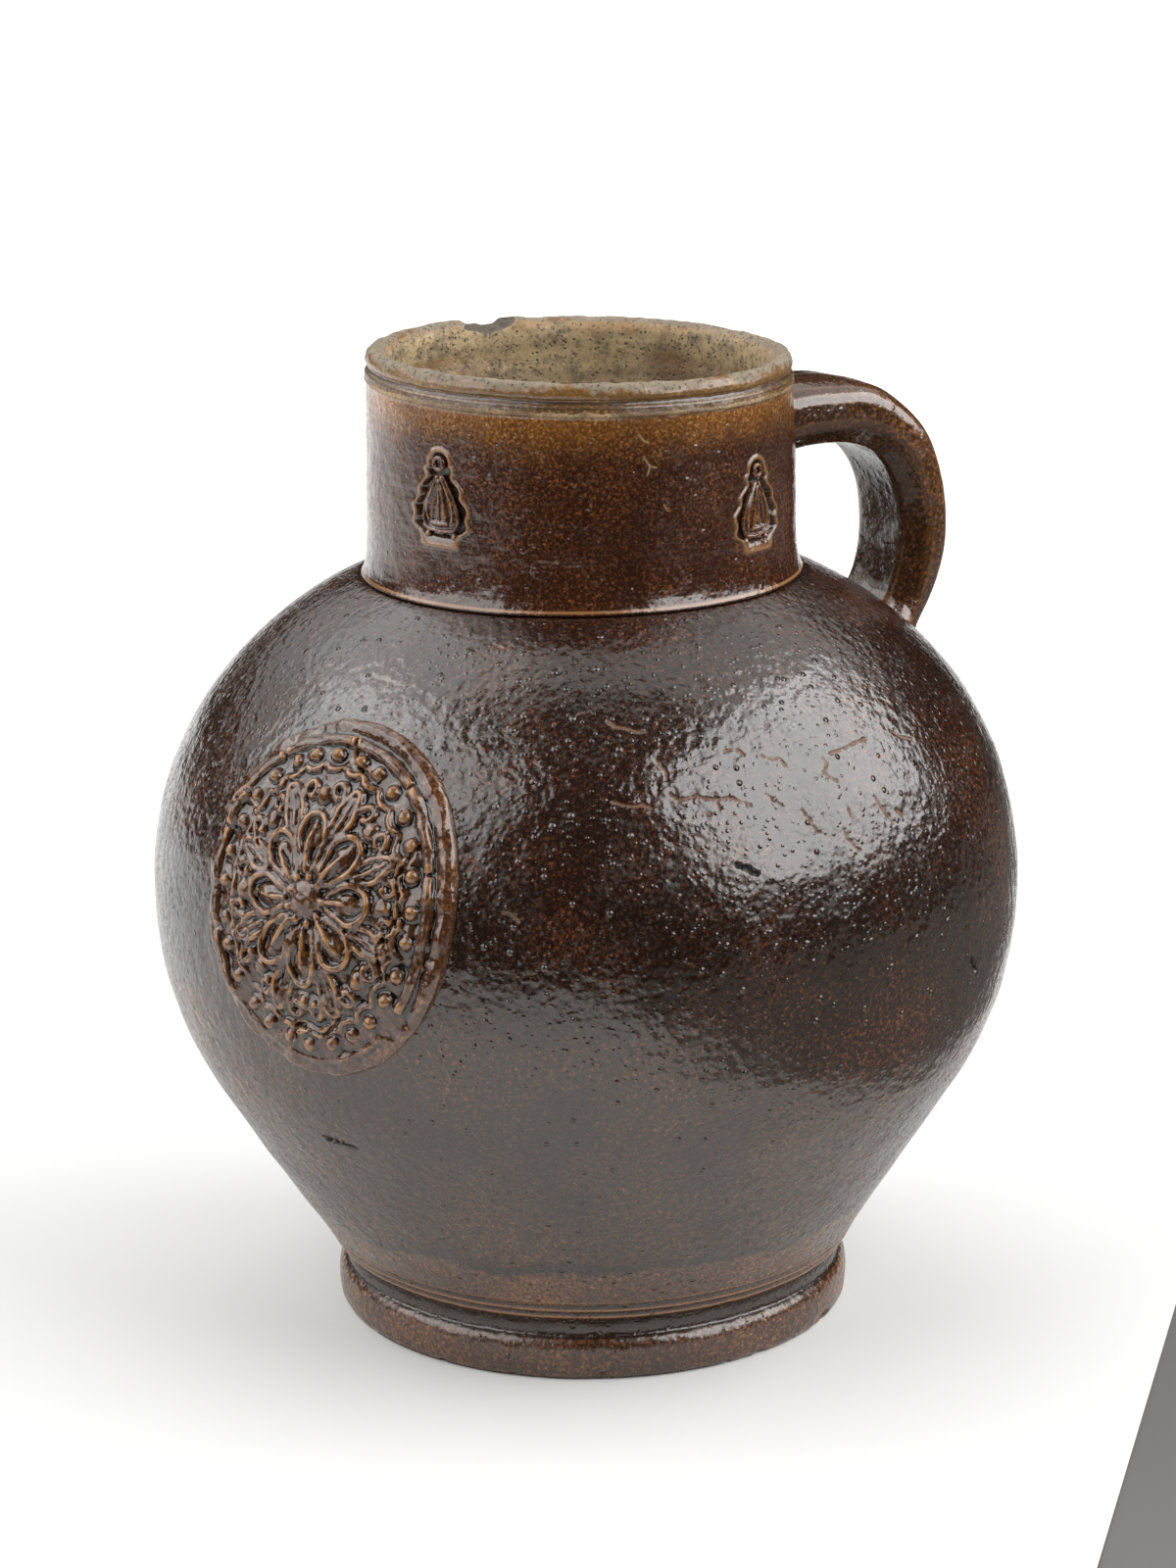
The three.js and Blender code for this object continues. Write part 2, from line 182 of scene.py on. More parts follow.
def wheel_wander(place, strengths):
    """Moves a place in or out from the wheel's axis by several sizes of unevenness."""
    radius = math.hypot(place.x, place.y)
    if radius < hub_radius or place.z < underside:
        return place
    grow = 1 + sum(wander(place, *strength) for strength in strengths) / radius
    return Vector((place.x * grow, place.y * grow, place.z))


arc_centre = Vector((belly_radius - belly_arc, belly_level))
seat_angle = math.acos((neck_ring_radius - arc_centre.x) / belly_arc)
throat_angle = math.acos((throat_radius - arc_centre.x) / (belly_arc - wall_thickness))
taper_foot = Vector((60.9, 15.2)) * mm
taper_reach = taper_foot - arc_centre
taper_angle = math.atan2(taper_reach.y, taper_reach.x) + math.acos(belly_arc / taper_reach.length)
taper_top = arc_centre + belly_arc * Vector((math.cos(taper_angle), math.sin(taper_angle)))
ridge_levels = (16.0, 18.2, 20.6)
ridge_heights = (0.5, 0.45, 0.2)


def foot_ridge(level):
    """How far the turned ridges stand out at a level."""
    proud = 0
    for ridge, height in zip(ridge_levels, ridge_heights):
        proud += height * mm * math.exp(-(((level / mm - ridge) / 0.45) ** 2))
    return proud


ridged_share = 0.14
ridge_end = taper_foot + (taper_top - taper_foot) * ridged_share
fine_taper = straight(taper_foot, ridge_end, 0.3 * mm)
seat_floor = seat_level - joint_gap
belly_outline = (
    profile(
        at(0, 0),
        (None, at(40, 0), 10),
        (None, at(58.6, 0), 3),
        (at(60.6, 0), at(61.2, 1.9), 0.4),
        (at(61.7, 4.5), at(61.5, 7), 0.9),
        (at(61.3, 9.6), at(59.6, 10.5), 0.35),
        (at(58.6, 12.6), taper_foot, 0.4),
    )
    + [Vector((p.x + foot_ridge(p.y), p.y)) for p in fine_taper]
    + straight(ridge_end, taper_top, 1.5 * mm)
    + round_stretch(arc_centre, belly_arc, taper_angle, seat_angle, 1.6 * mm)
    + profile(
        Vector((neck_ring_radius, seat_floor)),
        (None, Vector((spigot_radius, seat_floor)), 1),
        (None, Vector((spigot_radius, spigot_top)), 2),
        (None, Vector((throat_radius, spigot_top)), 2),
    )
    + round_stretch(arc_centre, belly_arc - wall_thickness, throat_angle, inner_arc_end, 6 * mm)
    + profile(at(83.3, 62.3), (None, at(53, 17), 7), (at(53, 9), at(36, 9), 4), (None, at(0, 10.4), 9))
    + [at(0, 10.4)]
)
belly = throw("thrown_belly", belly_outline, 300)

# Scars of the belly, as turns in degrees and levels in mm: fine glaze cracks and a few pits
crack_lines = [
    [(-108.4, 147.5), (-107.3, 146.2), (-105.8, 146.5), (-104.6, 146.8), (-103.8, 146.2), (-102.2, 145.8),
     (-101.0, 145.7), (-99.6, 145.6), (-98.5, 144.7), (-97.2, 143.8)],
    [(-101.9, 145.6), (-101.7, 143.8)],
    [(-93.4, 152.8), (-92.0, 151.9), (-90.6, 151.8), (-90.2, 150.5), (-89.5, 149.1)],
    [(-83.3, 150.3), (-82.9, 148.9), (-84.0, 147.6), (-83.5, 146.5), (-82.3, 145.5)],
    [(-81.6, 150.7), (-78.5, 151.0), (-76.2, 151.5), (-73.7, 151.8)],
    [(-89.6, 141.3), (-88.8, 139.2), (-88.2, 136.7), (-87.7, 136.1)],
    [(-94.4, 145.5), (-93.4, 144.1), (-92.6, 142.9)],
    [(-83.6, 135.7), (-83.4, 133.8), (-82.7, 131.8), (-82.0, 130.7)],
    [(-76.6, 140.3), (-76.2, 138.4), (-75.7, 136.9), (-74.9, 135.3), (-74.9, 134.2)],
    [(-82.1, 139.6), (-81.7, 137.7)],
    [(-99.2, 154.4), (-97.9, 154.7), (-96.7, 154.2), (-96.2, 153.4)],
    [(-109.5, 153.7), (-108.5, 151.8), (-108.5, 150.3)],
    [(-73.4, 136.9), (-72.5, 135.3)],
    [(-67.6, 151.6), (-66.1, 150.0), (-63.8, 148.6)],
    [(-116.3, 161.3), (-115.3, 160.4), (-113.3, 159.9), (-111.8, 159.2), (-110.6, 159.2)],
    [(-116.3, 146.5), (-114.3, 145.7), (-113.0, 145.5), (-112.3, 145.9), (-111.2, 145.1)],
    [(-139.2, 174.0), (-136.9, 173.3), (-135.3, 173.5)],
    [(-130.4, 124.7), (-129.1, 124.0), (-128.6, 122.8)],
]
pit_lines = [
    [(-100.5, 132.5), (-99.4, 131.5), (-98.2, 130.4)],
    [(-61.9, 98.3), (-61.2, 96.6), (-60.6, 95.2)],
    [(-160.7, 63.8), (-158.2, 63.2), (-155.3, 62.7)],
]
scar_reach = 2.4 * mm
longest_scar = 25 * mm
crack_depth, crack_half_width = 0.27 * mm, 0.5 * mm
pit_depth, pit_half_width = 0.9 * mm, 0.48 * mm
belly_middle = Vector((0, 0, 100 * mm))
foot_top, foot_inner_radius = 25 * mm, 54.5 * mm


def on_wall(turn, level):
    """The place on the belly's wall at a turn in degrees and a level in mm."""
    drop = level * mm - arc_centre.y
    radius = arc_centre.x + math.sqrt(belly_arc ** 2 - drop ** 2)
    angle = math.radians(turn)
    return Vector((radius * math.cos(angle), radius * math.sin(angle), level * mm))


def line_gap(place, line, within):
    """How far a place is from a line, or the limit if it is further than that."""
    for here, there in zip(line, line[1:]):
        along = there - here
        share = min(1, max(0, (place - here).dot(along) / along.length_squared))
        within = min(within, (place - here - along * share).length)
    return within


def nearest(place, lines, within):
    """How far a place is from the nearest of some lines, or the limit if it is further than that."""
    for line in lines:
        if (place - line[0]).length < longest_scar:
            within = line_gap(place, line, within)
    return within


def crack_share(place):
    """1 in the middle of a crack and 0 beside it, with a ragged edge that comes and goes."""
    ragged = 0.25 * mm * noise.noise(place / (0.7 * mm)) + 0.15 * mm * noise.noise(place / (3 * mm))
    return max(0, 1 - max(0, nearest(place, crack_paths, scar_reach) + ragged) / crack_half_width)


def pit_share(place):
    ragged = 0.35 * mm * noise.noise(place / (0.9 * mm))
    return max(0, min(1, 1.5 - max(0, nearest(place, pit_paths, scar_reach) + ragged) / pit_half_width))


def bitten_foot(place):
    """The edge under the foot lost small bites as the pot stood in the kiln and on tables."""
    share = 1 - abs(place.z - 1.2 * mm) / (2.2 * mm)
    if share <= 0 or math.hypot(place.x, place.y) <= 58 * mm:
        return place
    bite = max(0, noise.noise(place / (3.2 * mm)) - 0.28) * 3 * mm * share
    return place - Vector((place.x, place.y, 0)).normalized() * bite


def is_inner(vertex):
    """Whether a point of the belly lies on its inner wall."""
    faces_in = (belly_middle - vertex.co).dot(vertex.normal) > 0
    in_foot = vertex.co.z <= foot_top and math.hypot(vertex.co.x, vertex.co.y) >= foot_inner_radius
    return faces_in and not in_foot


def keep_amounts(piece, name, amounts):
    """Keeps an amount for each point of a piece, which its finish reads."""
    piece.data.attributes.new(name, "FLOAT", "POINT").data.foreach_set("value", amounts)


crack_paths = [[on_wall(*knot) for knot in line] for line in crack_lines]
pit_paths = [[on_wall(*knot) for knot in line] for line in pit_lines]
scar_paths = crack_paths + pit_paths
refine(belly, "FACE", lambda face: nearest(face.center, scar_paths, scar_reach) < scar_reach, 5)
belly_cracks = [crack_share(vertex.co) for vertex in belly.data.vertices]
belly_pits = [pit_share(vertex.co) for vertex in belly.data.vertices]
belly_strengths = [(55 * mm, 0.9 * mm), (7 * mm, 0.12 * mm), (9 * mm, 0.2 * mm, 12)]
reshape(belly, lambda place: wheel_wander(place, belly_strengths))
for vertex, crack, pit in zip(belly.data.vertices, belly_cracks, belly_pits):
    if crack > 0 or pit > 0:
        vertex.co -= vertex.normal * (crack_depth * crack + pit_depth * pit)
reshape(belly, bitten_foot)
keep_amounts(belly, "crack", belly_cracks)
keep_amounts(belly, "pit", belly_pits)
keep_amounts(belly, "inner_wall", [float(is_inner(vertex)) for vertex in belly.data.vertices])


def linear(code):
    """An sRGB hex colour as Blender's linear colour."""
    parts = [int(code[i:i + 2], 16) / 255 for i in (1, 3, 5)]
    return [p / 12.92 if p <= 0.04045 else ((p + 0.055) / 1.055) ** 2.4 for p in parts] + [1]


def node(tree, kind, links=None, result=None, **settings):
    """Adds a node with its settings, fills its inputs with values or links, and gives one output."""
    made = tree.nodes.new("ShaderNode" + kind)
    if kind == "Mix":
        made.data_type = "RGBA"
    for key, value in settings.items():
        setattr(made, key, value)
    for key, value in (links or {}).items():
        if isinstance(value, bpy.types.NodeSocket):
            tree.links.new(value, made.inputs[key])
        else:
            made.inputs[key].default_value = value
    if result is None:
        result = 2 if kind == "Mix" else 0
    return made.outputs[result]


# A map range with this setting leaves its ends softly
eased = {"interpolation_type": "SMOOTHSTEP"}


def new_finish(name, roughness, ior):
    """A material whose shader has its gloss set, and the place that its patterns read."""
    material = bpy.data.materials.new(name)
    material.use_nodes = True
    shader = material.node_tree.nodes["Principled BSDF"]
    shader.inputs["Roughness"].default_value = roughness
    shader.inputs["IOR"].default_value = ior
    place = material.node_tree.nodes.new("ShaderNodeTexCoord").outputs["Object"]
    return material, material.node_tree, shader, place


def mottle(tree, place, dark, spot, bright, shift):
    """Colour of an iron wash under salt glaze: dark, with spots where the clay shows through, some of
    them brighter. The spots are 0.7 to 1 mm across, and drift over patches of about 30 mm."""
    fine = node(tree, "TexNoise", {"Vector": place, "Scale": 1 / (0.85 * mm), "Detail": 3, "Roughness": 0.6})
    patch = node(tree, "TexNoise", {"Vector": place, "Scale": 1 / (28 * mm), "Detail": 3})
    drift = node(tree, "Math", {0: patch, 1: 0.35, 2: shift - 0.175}, operation="MULTIPLY_ADD")
    level = node(tree, "Math", {0: fine, 1: drift}, operation="ADD")
    spots = node(tree, "MapRange", {"Value": level, "From Min": 0.46, "From Max": 0.66}, **eased)
    tips = node(tree, "MapRange", {"Value": level, "From Min": 0.62, "From Max": 0.76}, **eased)
    ground = node(tree, "Mix", {0: spots, 6: linear(dark), 7: linear(spot)})
    return node(tree, "Mix", {0: tips, 6: ground, 7: linear(bright)})


def turned_clay(tree, place, fineness, dark, light):
    """Colour of bare clay with the rings that the potter's fingers left, and the rings' own tone."""
    stretched = node(tree, "VectorMath", {0: place, 1: (12, 12, fineness)}, operation="MULTIPLY")
    rings = node(tree, "TexNoise", {"Vector": stretched, "Scale": 1, "Detail": 3})
    return node(tree, "Mix", {0: rings, 6: linear(dark), 7: linear(light)}), rings


def painted_ring(tree, colour, level, middle, half_width, strength, paint):
    """A colour with a thin ring of another laid round the pot at a level."""
    ring = node(tree, "Math", {0: level, 1: middle, 2: half_width}, operation="COMPARE")
    ring = node(tree, "Math", {0: ring, 1: strength}, operation="MULTIPLY")
    return node(tree, "Mix", {0: ring, 6: colour, 7: linear(paint)})


def painted_marks(tree, colour, name, paint):
    """A colour with another laid over the marks that the mesh keeps under a name, and those marks."""
    marks = node(tree, "Attribute", result="Fac", attribute_name=name)
    return node(tree, "Mix", {0: marks, 6: colour, 7: linear(paint)}), marks


def salt_skin(tree, place, peel, pimples):
    """Height of a salt-glazed skin in mm: an orange peel 2 to 4 mm across, pimples of about 1 mm where
    grains of quartz stand in the clay, some bigger ones, and a fine grain."""
    waves = node(tree, "TexNoise", {"Vector": place, "Scale": 1 / (2.7 * mm), "Detail": 1})
    grain = node(tree, "TexNoise", {"Vector": place, "Scale": 1 / (0.8 * mm), "Detail": 2})
    small = node(tree, "TexVoronoi", {"Vector": place, "Scale": 1 / (1.9 * mm)})
    large = node(tree, "TexVoronoi", {"Vector": place, "Scale": 1 / (4.6 * mm)})
    small_tops = node(tree, "MapRange", {"Value": small, "From Min": 0.3, "From Max": 0.05}, **eased)
    large_tops = node(tree, "MapRange", {"Value": large, "From Min": 0.18, "From Max": 0.05}, **eased)
    height = node(tree, "Math", {0: waves, 1: peel}, operation="MULTIPLY")
    for layer, rise in ((grain, 0.045), (small_tops, 0.07 * pimples), (large_tops, 0.2 * pimples)):
        height = node(tree, "Math", {0: layer, 1: rise, 2: height}, operation="MULTIPLY_ADD")
    return height


def salt_gloss(tree, place, shader, gloss, dullest):
    """Roughness of salt glaze: glossy, with dull specks of 1 mm where iron crystallised in its skin."""
    specks = node(tree, "TexNoise", {"Vector": place, "Scale": 1 / (0.9 * mm), "Detail": 2, "Roughness": 0.6})
    clouds = node(tree, "TexNoise", {"Vector": place, "Scale": 1 / (12 * mm), "Detail": 3})
    level = node(tree, "Math", {0: clouds, 1: 0.5, 2: specks}, operation="MULTIPLY_ADD")
    ends = {"From Min": 0.72, "From Max": 0.95, "To Min": gloss, "To Max": dullest}
    rough = node(tree, "MapRange", {"Value": level, **ends}, **eased)
    tree.links.new(rough, shader.inputs["Roughness"])
    return rough


def cover(tree, shader, colour, height, rise=mm):
    """Gives a finish its colour and the relief of a height, whose unit is the rise."""
    tree.links.new(colour, shader.inputs["Base Color"])
    relief = node(tree, "Bump", {"Height": height, "Distance": rise, "Strength": 1})
    tree.links.new(relief, shader.inputs["Normal"])


# Iron-washed salt-glazed stoneware: sodium vapour melts the skin of the clay to a thin hard glass.
# It is almost black-brown with orange-brown specks, and glossy over the pimples of its skin.
belly_glaze, tree, shader, place = new_finish("belly_salt_glaze", 0.15, 1.76)
level = node(tree, "SeparateXYZ", {0: place}, result=2)
colour = mottle(tree, place, "#1e110b", "#432515", "#7f461d", 0)
low_down = {"From Min": 100 * mm, "From Max": 62 * mm, "To Max": 0.55}
greyer = node(tree, "MapRange", {"Value": level, **low_down}, **eased)
lower = mottle(tree, place, "#2b180f", "#53331e", "#855127", 0.03)
colour = node(tree, "Mix", {0: greyer, 6: colour, 7: lower})
# Near the foot the wash ran out in an uneven dark line, with thin brown glaze below it
ragged = node(tree, "TexNoise", {"Vector": place, "Scale": 1 / (22 * mm), "Detail": 4, "Roughness": 0.55})
wash_level = node(tree, "Math", {0: ragged, 1: 14 * mm, 2: level}, operation="MULTIPLY_ADD")
foot_colour = mottle(tree, place, "#362013", "#613c20", "#8f5d2c", 0.04)
below_wash = {"From Min": 37.8 * mm, "From Max": 36 * mm}
thin_wash = node(tree, "MapRange", {"Value": wash_level, **below_wash}, **eased)
colour = node(tree, "Mix", {0: thin_wash, 6: colour, 7: foot_colour})
colour = painted_ring(tree, colour, wash_level, 38.5 * mm, 1.1 * mm, 0.7, "#1c110c")
# The ridges' edges are bare of iron, and the cove and the grooves between them are painted dark brown as
# shade
for ridge, width, share in ((16.05, 0.32, 0.75), (18.25, 0.3, 0.75), (20.6, 0.25, 0.35)):
    colour = painted_ring(tree, colour, level, ridge * mm, width * mm, share, "#8f6238")
# Painted shade: a dark ring in the cove and in each groove between the ridges
for groove, width in ((12.6, 2.6), (17.1, 0.5), (19.4, 0.5)):
    colour = painted_ring(tree, colour, level, groove * mm, width * mm, 0.85, "#20130d")
# Inside there is no wash and little salt reached the wall, so it is dull grey-brown clay with rings
inner_clay = turned_clay(tree, place, 400, "#6a5a43", "#9c8762")[0]
inner_wall = node(tree, "Attribute", result="Fac", attribute_name="inner_wall")
colour = node(tree, "Mix", {0: inner_wall, 6: colour, 7: inner_clay})
colour, cracked = painted_marks(tree, colour, "crack", "#6a3d16")
colour, pitted = painted_marks(tree, colour, "pit", "#0d0907")
cover(tree, shader, colour, salt_skin(tree, place, 0.34, 1.6))
dull = node(tree, "Math", {0: cracked, 1: pitted}, operation="ADD")
dull = node(tree, "Math", {0: dull, 1: inner_wall}, operation="MAXIMUM")
rough = salt_gloss(tree, place, shader, 0.17, 0.37)
rough = node(tree, "Math", {0: greyer, 1: 0.12, 2: rough}, operation="MULTIPLY_ADD")
rough = node(tree, "Math", {0: dull, 1: 0.5, 2: rough}, operation="MULTIPLY_ADD", use_clamp=True)
tree.links.new(rough, shader.inputs["Roughness"])

belly.data.materials.append(belly_glaze)
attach(belly, "root")
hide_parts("belly")

# Neck. A second thrown piece, a plain cylinder with a sharp ring at its foot, and at its top a
# cordon, a cut groove and a rolled lip. It is luted over the belly's rebate. Its lip has an old chip
# at the back, and three wavy hollows are pressed into its wall, one for each bud.
top_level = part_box("neck")[1].z
neck_radius = 49.8 * mm
rebate_radius = spigot_radius + joint_gap
lean = 0.026
lean_angle = math.radians(-30)
lean_slope = (lean * math.cos(lean_angle), lean * math.sin(lean_angle), 0)


def above_seat(radius, rise):
    return Vector((radius * mm, seat_level + rise * mm))


def below_top(radius, drop):
    return Vector((radius * mm, top_level - drop * mm))


neck_foot = Vector((rebate_radius, seat_level))
neck_outline = profile(
    neck_foot,
    (None, above_seat(51.2, 0), 1),
    (above_seat(51.6, 0), above_seat(51.55, 0.5), 0.15),
    (above_seat(51.1, 1.2), above_seat(50.95, 1.8), 0.3),
    (above_seat(50.1, 4.5), above_seat(49.9, 11), 0.7),
    (at(49.6, 208), below_top(49.1, 7.4), 0.95),
    (below_top(49.45, 7.3), below_top(49.5, 6.9), 0.15),
    (None, below_top(49.2, 5), 0.4),
    (below_top(47.9, 4.2), below_top(48.8, 3.4), 0.2),
    (below_top(49.2, 2.4), below_top(48.8, 1.6), 0.35),
    (below_top(48.4, 0), below_top(46.9, 0), 0.35),
    (below_top(44.5, 0.2), below_top(43.9, 2.8), 0.4),
    (below_top(43.7, 5), below_top(44.6, 8.5), 0.7),
    (None, above_seat(44.6, 4.5), 1.8),
    (None, Vector((rebate_radius, seat_level + 4.5 * mm)), 2),
    (None, neck_foot, 2),
)
neck = throw("thrown_neck", neck_outline + [neck_foot], 320)
neck_strengths = [(30 * mm, 0.4 * mm), (5 * mm, 0.1 * mm)]
reshape(neck, lambda place: wheel_wander(place, neck_strengths))


def worn_lip(place):
    """The lip is dented and rubbed in small places, more on its top than on its sides."""
    height = min(1, max(0, (place.z - top_level + 8 * mm) / (6 * mm)))
    rub = noise.noise(place / (2.2 * mm)) * 0.22 * mm + noise.noise(place / (9 * mm)) * 0.3 * mm
    centre = Vector((place.x, place.y, 0)).normalized() * 47 * mm + Vector((0, 0, top_level - 3 * mm))
    return place + (centre - place).normalized() * rub * height


# Salt-glazed neck: the wash is thin at the top, where the glaze is golden brown, and thick further
# down, where it is dark red-brown. Inside and on its lip the clay is bare, beige and dull.
neck_glaze, tree, shader, place = new_finish("neck_salt_glaze", 0.2, 1.75)
upright = node(tree, "SeparateXYZ", {0: place}, result=2)
tilt = node(tree, "VectorMath", {0: place, 1: lean_slope}, result="Value", operation="DOT_PRODUCT")
rise = node(tree, "MapRange", {"Value": upright, "From Min": seat_level, "From Max": top_level})
level = node(tree, "Math", {0: tilt, 1: rise, 2: upright}, operation="MULTIPLY_ADD")
drift = node(tree, "TexNoise", {"Vector": place, "Scale": 1 / (14 * mm), "Detail": 5, "Roughness": 0.6})
drifted = node(tree, "Math", {0: drift, 1: 14 * mm, 2: level}, operation="MULTIPLY_ADD")
fine_place = node(tree, "VectorMath", {0: place, 3: 1.2}, operation="SCALE")
dark_glaze = mottle(tree, fine_place, "#2c160c", "#522c16", "#855128", 0.02)
gold_glaze = mottle(tree, fine_place, "#613b1a", "#855623", "#aa7b46", 0.05)
upwards = {"From Min": 217.5 * mm, "From Max": 230.5 * mm}
golden = node(tree, "MapRange", {"Value": drifted, **upwards}, **eased)
colour = node(tree, "Mix", {0: golden, 6: dark_glaze, 7: gold_glaze})
# Clay shows beige along the cordon, ochre above it, and grey on the rubbed lip
pale_edge = node(tree, "TexNoise", {"Vector": place, "Scale": 1 / (3.5 * mm), "Detail": 4, "Roughness": 0.7})
edge_level = node(tree, "Math", {0: pale_edge, 1: 2.6 * mm, 2: level}, operation="MULTIPLY_ADD")
cordon_foot = {"From Min": top_level - 7.6 * mm, "From Max": top_level - 7.2 * mm}
cordon = node(tree, "MapRange", {"Value": level, **cordon_foot})
cordon_glaze = mottle(tree, place, "#4f3820", "#7a572c", "#9c7441", 0.02)
colour = node(tree, "Mix", {0: cordon, 6: colour, 7: cordon_glaze})
bare_line = node(tree, "Math", {0: edge_level, 1: top_level - 5.6 * mm, 2: 0.6 * mm}, operation="COMPARE")
patchy = {"From Min": 0.44, "From Max": 0.58, "To Min": 0.2, "To Max": 0.85}
rubbed = node(tree, "MapRange", {"Value": drift, **patchy})
bare_line = node(tree, "Math", {0: bare_line, 1: rubbed}, operation="MULTIPLY")
beige_clay = node(tree, "Mix", {0: pale_edge, 6: linear("#816440"), 7: linear("#bda075")})
colour = node(tree, "Mix", {0: bare_line, 6: colour, 7: beige_clay})
cut_edge = {"From Min": top_level - 4.1 * mm, "From Max": top_level - 3.8 * mm}
ochre_side = node(tree, "MapRange", {"Value": level, **cut_edge})
ochre = mottle(tree, place, "#684820", "#8d662f", "#ab8852", 0)
colour = node(tree, "Mix", {0: ochre_side, 6: colour, 7: ochre})
cut_wander = node(tree, "Math", {0: pale_edge, 1: 0.5}, operation="SUBTRACT")
cut_level = node(tree, "Math", {0: cut_wander, 1: 0.9 * mm, 2: level}, operation="MULTIPLY_ADD")
for cut, width, depth in ((4.3, 0.3, 0.85), (5.5, 0.16, 0.6), (3.5, 0.12, 0.4)):
    colour = painted_ring(tree, colour, cut_level, top_level - cut * mm, width * mm, depth, "#35241a")
# The top of the lip is rubbed to bare clay, furthest down at the front right
rub_reach = node(tree, "Math", {0: drift, 1: 9 * mm, 2: edge_level}, operation="MULTIPLY_ADD")
lip_foot = {"From Min": 233.8 * mm, "From Max": 234.6 * mm}
worn = node(tree, "MapRange", {"Value": rub_reach, **lip_foot}, **eased)
beige = node(tree, "Math", {0: worn, 1: bare_line}, operation="MAXIMUM")
grey_clay = node(tree, "Mix", {0: pale_edge, 6: linear("#4d4336"), 7: linear("#97866b")})
colour = node(tree, "Mix", {0: worn, 6: colour, 7: grey_clay})
# Inside, the clay has throwing rings, grime, an orange patch at the top and a brown stain that has
# run down the wall at the back right
flat_place = node(tree, "VectorMath", {0: place, 1: (1, 1, 0)}, operation="MULTIPLY")
radius = node(tree, "VectorMath", {0: flat_place}, result="Value", operation="LENGTH")
inside = node(tree, "MapRange", {"Value": radius, "From Min": 45.2 * mm, "From Max": 44.4 * mm}, **eased)
inner_clay, ring_lines = turned_clay(tree, place, 500, "#7f6c51", "#bfa77a")
grime = node(tree, "TexNoise", {"Vector": place, "Scale": 1 / (4 * mm), "Detail": 8, "Roughness": 0.75})
grimy = node(tree, "MapRange", {"Value": grime, "From Min": 0.46, "From Max": 0.62, "To Max": 0.8})
inner_clay = node(tree, "Mix", {0: grimy, 6: inner_clay, 7: linear("#584a37")})
near_top = {"From Min": 233.5 * mm, "From Max": 237.5 * mm, "To Max": 0.75}
orange_patch = node(tree, "MapRange", {"Value": drifted, **near_top})
inner_clay = node(tree, "Mix", {0: orange_patch, 6: inner_clay, 7: linear("#946c3d")})
stain_place = Vector((38.6, 22.8, 218)) * mm
stain_reach = node(tree, "VectorMath", {0: place, 1: stain_place}, result="Value", operation="DISTANCE")
stain_reach = node(tree, "Math", {0: grime, 1: 12 * mm, 2: stain_reach}, operation="MULTIPLY_ADD")
stain_edge = {"From Min": 14 * mm, "From Max": 9 * mm, "To Max": 0.7}
stain = node(tree, "MapRange", {"Value": stain_reach, **stain_edge})
inner_clay = node(tree, "Mix", {0: stain, 6: inner_clay, 7: linear("#5e3f20")})
colour = node(tree, "Mix", {0: inside, 6: colour, 7: inner_clay})
# Ash and iron grains leave dark pits in the bare clay
grains = node(tree, "TexVoronoi", {"Vector": place, "Scale": 1 / (1.7 * mm)})
pits = node(tree, "MapRange", {"Value": grains, "From Min": 0.25, "From Max": 0.12, "To Max": 0.9})
specks = node(tree, "TexNoise", {"Vector": place, "Scale": 1 / (0.9 * mm), "Detail": 3, "Roughness": 0.6})
specks = node(tree, "MapRange", {"Value": specks, "From Min": 0.58, "From Max": 0.7, "To Max": 0.75})
pits = node(tree, "Math", {0: pits, 1: specks}, operation="MAXIMUM")
bare = node(tree, "Math", {0: inside, 1: beige}, operation="MAXIMUM")
dark_pits = node(tree, "Math", {0: pits, 1: bare}, operation="MULTIPLY")
colour = node(tree, "Mix", {0: dark_pits, 6: colour, 7: linear("#41382d")})
# The hollows are darkened with painted shade, the glaze has run thin on their edges and on the foot of
# the neck, and pale scratches cross its front
colour = painted_marks(tree, colour, "hollow_shade", "#1b1712")[0]
colour = painted_marks(tree, colour, "thin", "#a87c50")[0]
colour = painted_ring(tree, colour, level, seat_level + 0.9 * mm, 0.3 * mm, 0.7, "#9a6f45")
colour = painted_marks(tree, colour, "scratch", "#9c7f5a")[0]
height = salt_skin(tree, place, 0.2, 0.6)
height = node(tree, "Math", {0: dark_pits, 1: -0.3, 2: height}, operation="MULTIPLY_ADD")
height = node(tree, "Math", {0: ring_lines, 1: 0.1, 2: height}, operation="MULTIPLY_ADD")
cover(tree, shader, colour, height)
rough = salt_gloss(tree, place, shader, 0.17, 0.34)
rough = node(tree, "Math", {0: cordon, 1: 0.12, 2: rough}, operation="MULTIPLY_ADD")
rough = node(tree, "Math", {0: bare, 1: 0.42, 2: rough}, operation="MULTIPLY_ADD", use_clamp=True)
tree.links.new(rough, shader.inputs["Roughness"])
neck.data.materials.append(neck_glaze)

# The chip: a rough hollow where the lip was knocked off, back to stained grey clay
chip_angle = math.radians(89.4)
chip_radius = 43.6 * mm
chip_place = Vector((
    chip_radius * math.cos(chip_angle), chip_radius * math.sin(chip_angle), top_level + 0.6 * mm,
))
broken_clay, tree, shader, place = new_finish("broken_clay", 0.8, 1.5)
grit = node(tree, "TexNoise", {"Vector": place, "Scale": 1 / (0.8 * mm), "Detail": 4})
grit_colour = node(tree, "Mix", {0: grit, 6: linear("#38312a"), 7: linear("#6a6052")})
cover(tree, shader, grit_colour, grit, 0.4 * mm)
bpy.ops.object.select_all(action="DESELECT")
bpy.ops.mesh.primitive_ico_sphere_add(subdivisions=5, radius=1, location=chip_place)
chip = bpy.context.object
chip.scale = (7.4 * mm, 6.3 * mm, 3.6 * mm)
bpy.ops.object.transform_apply(location=True)
chip.data.materials.append(broken_clay)
reshape(chip, lambda place: place + (place - chip_place) * 0.3 * noise.noise(place / (3 * mm)))
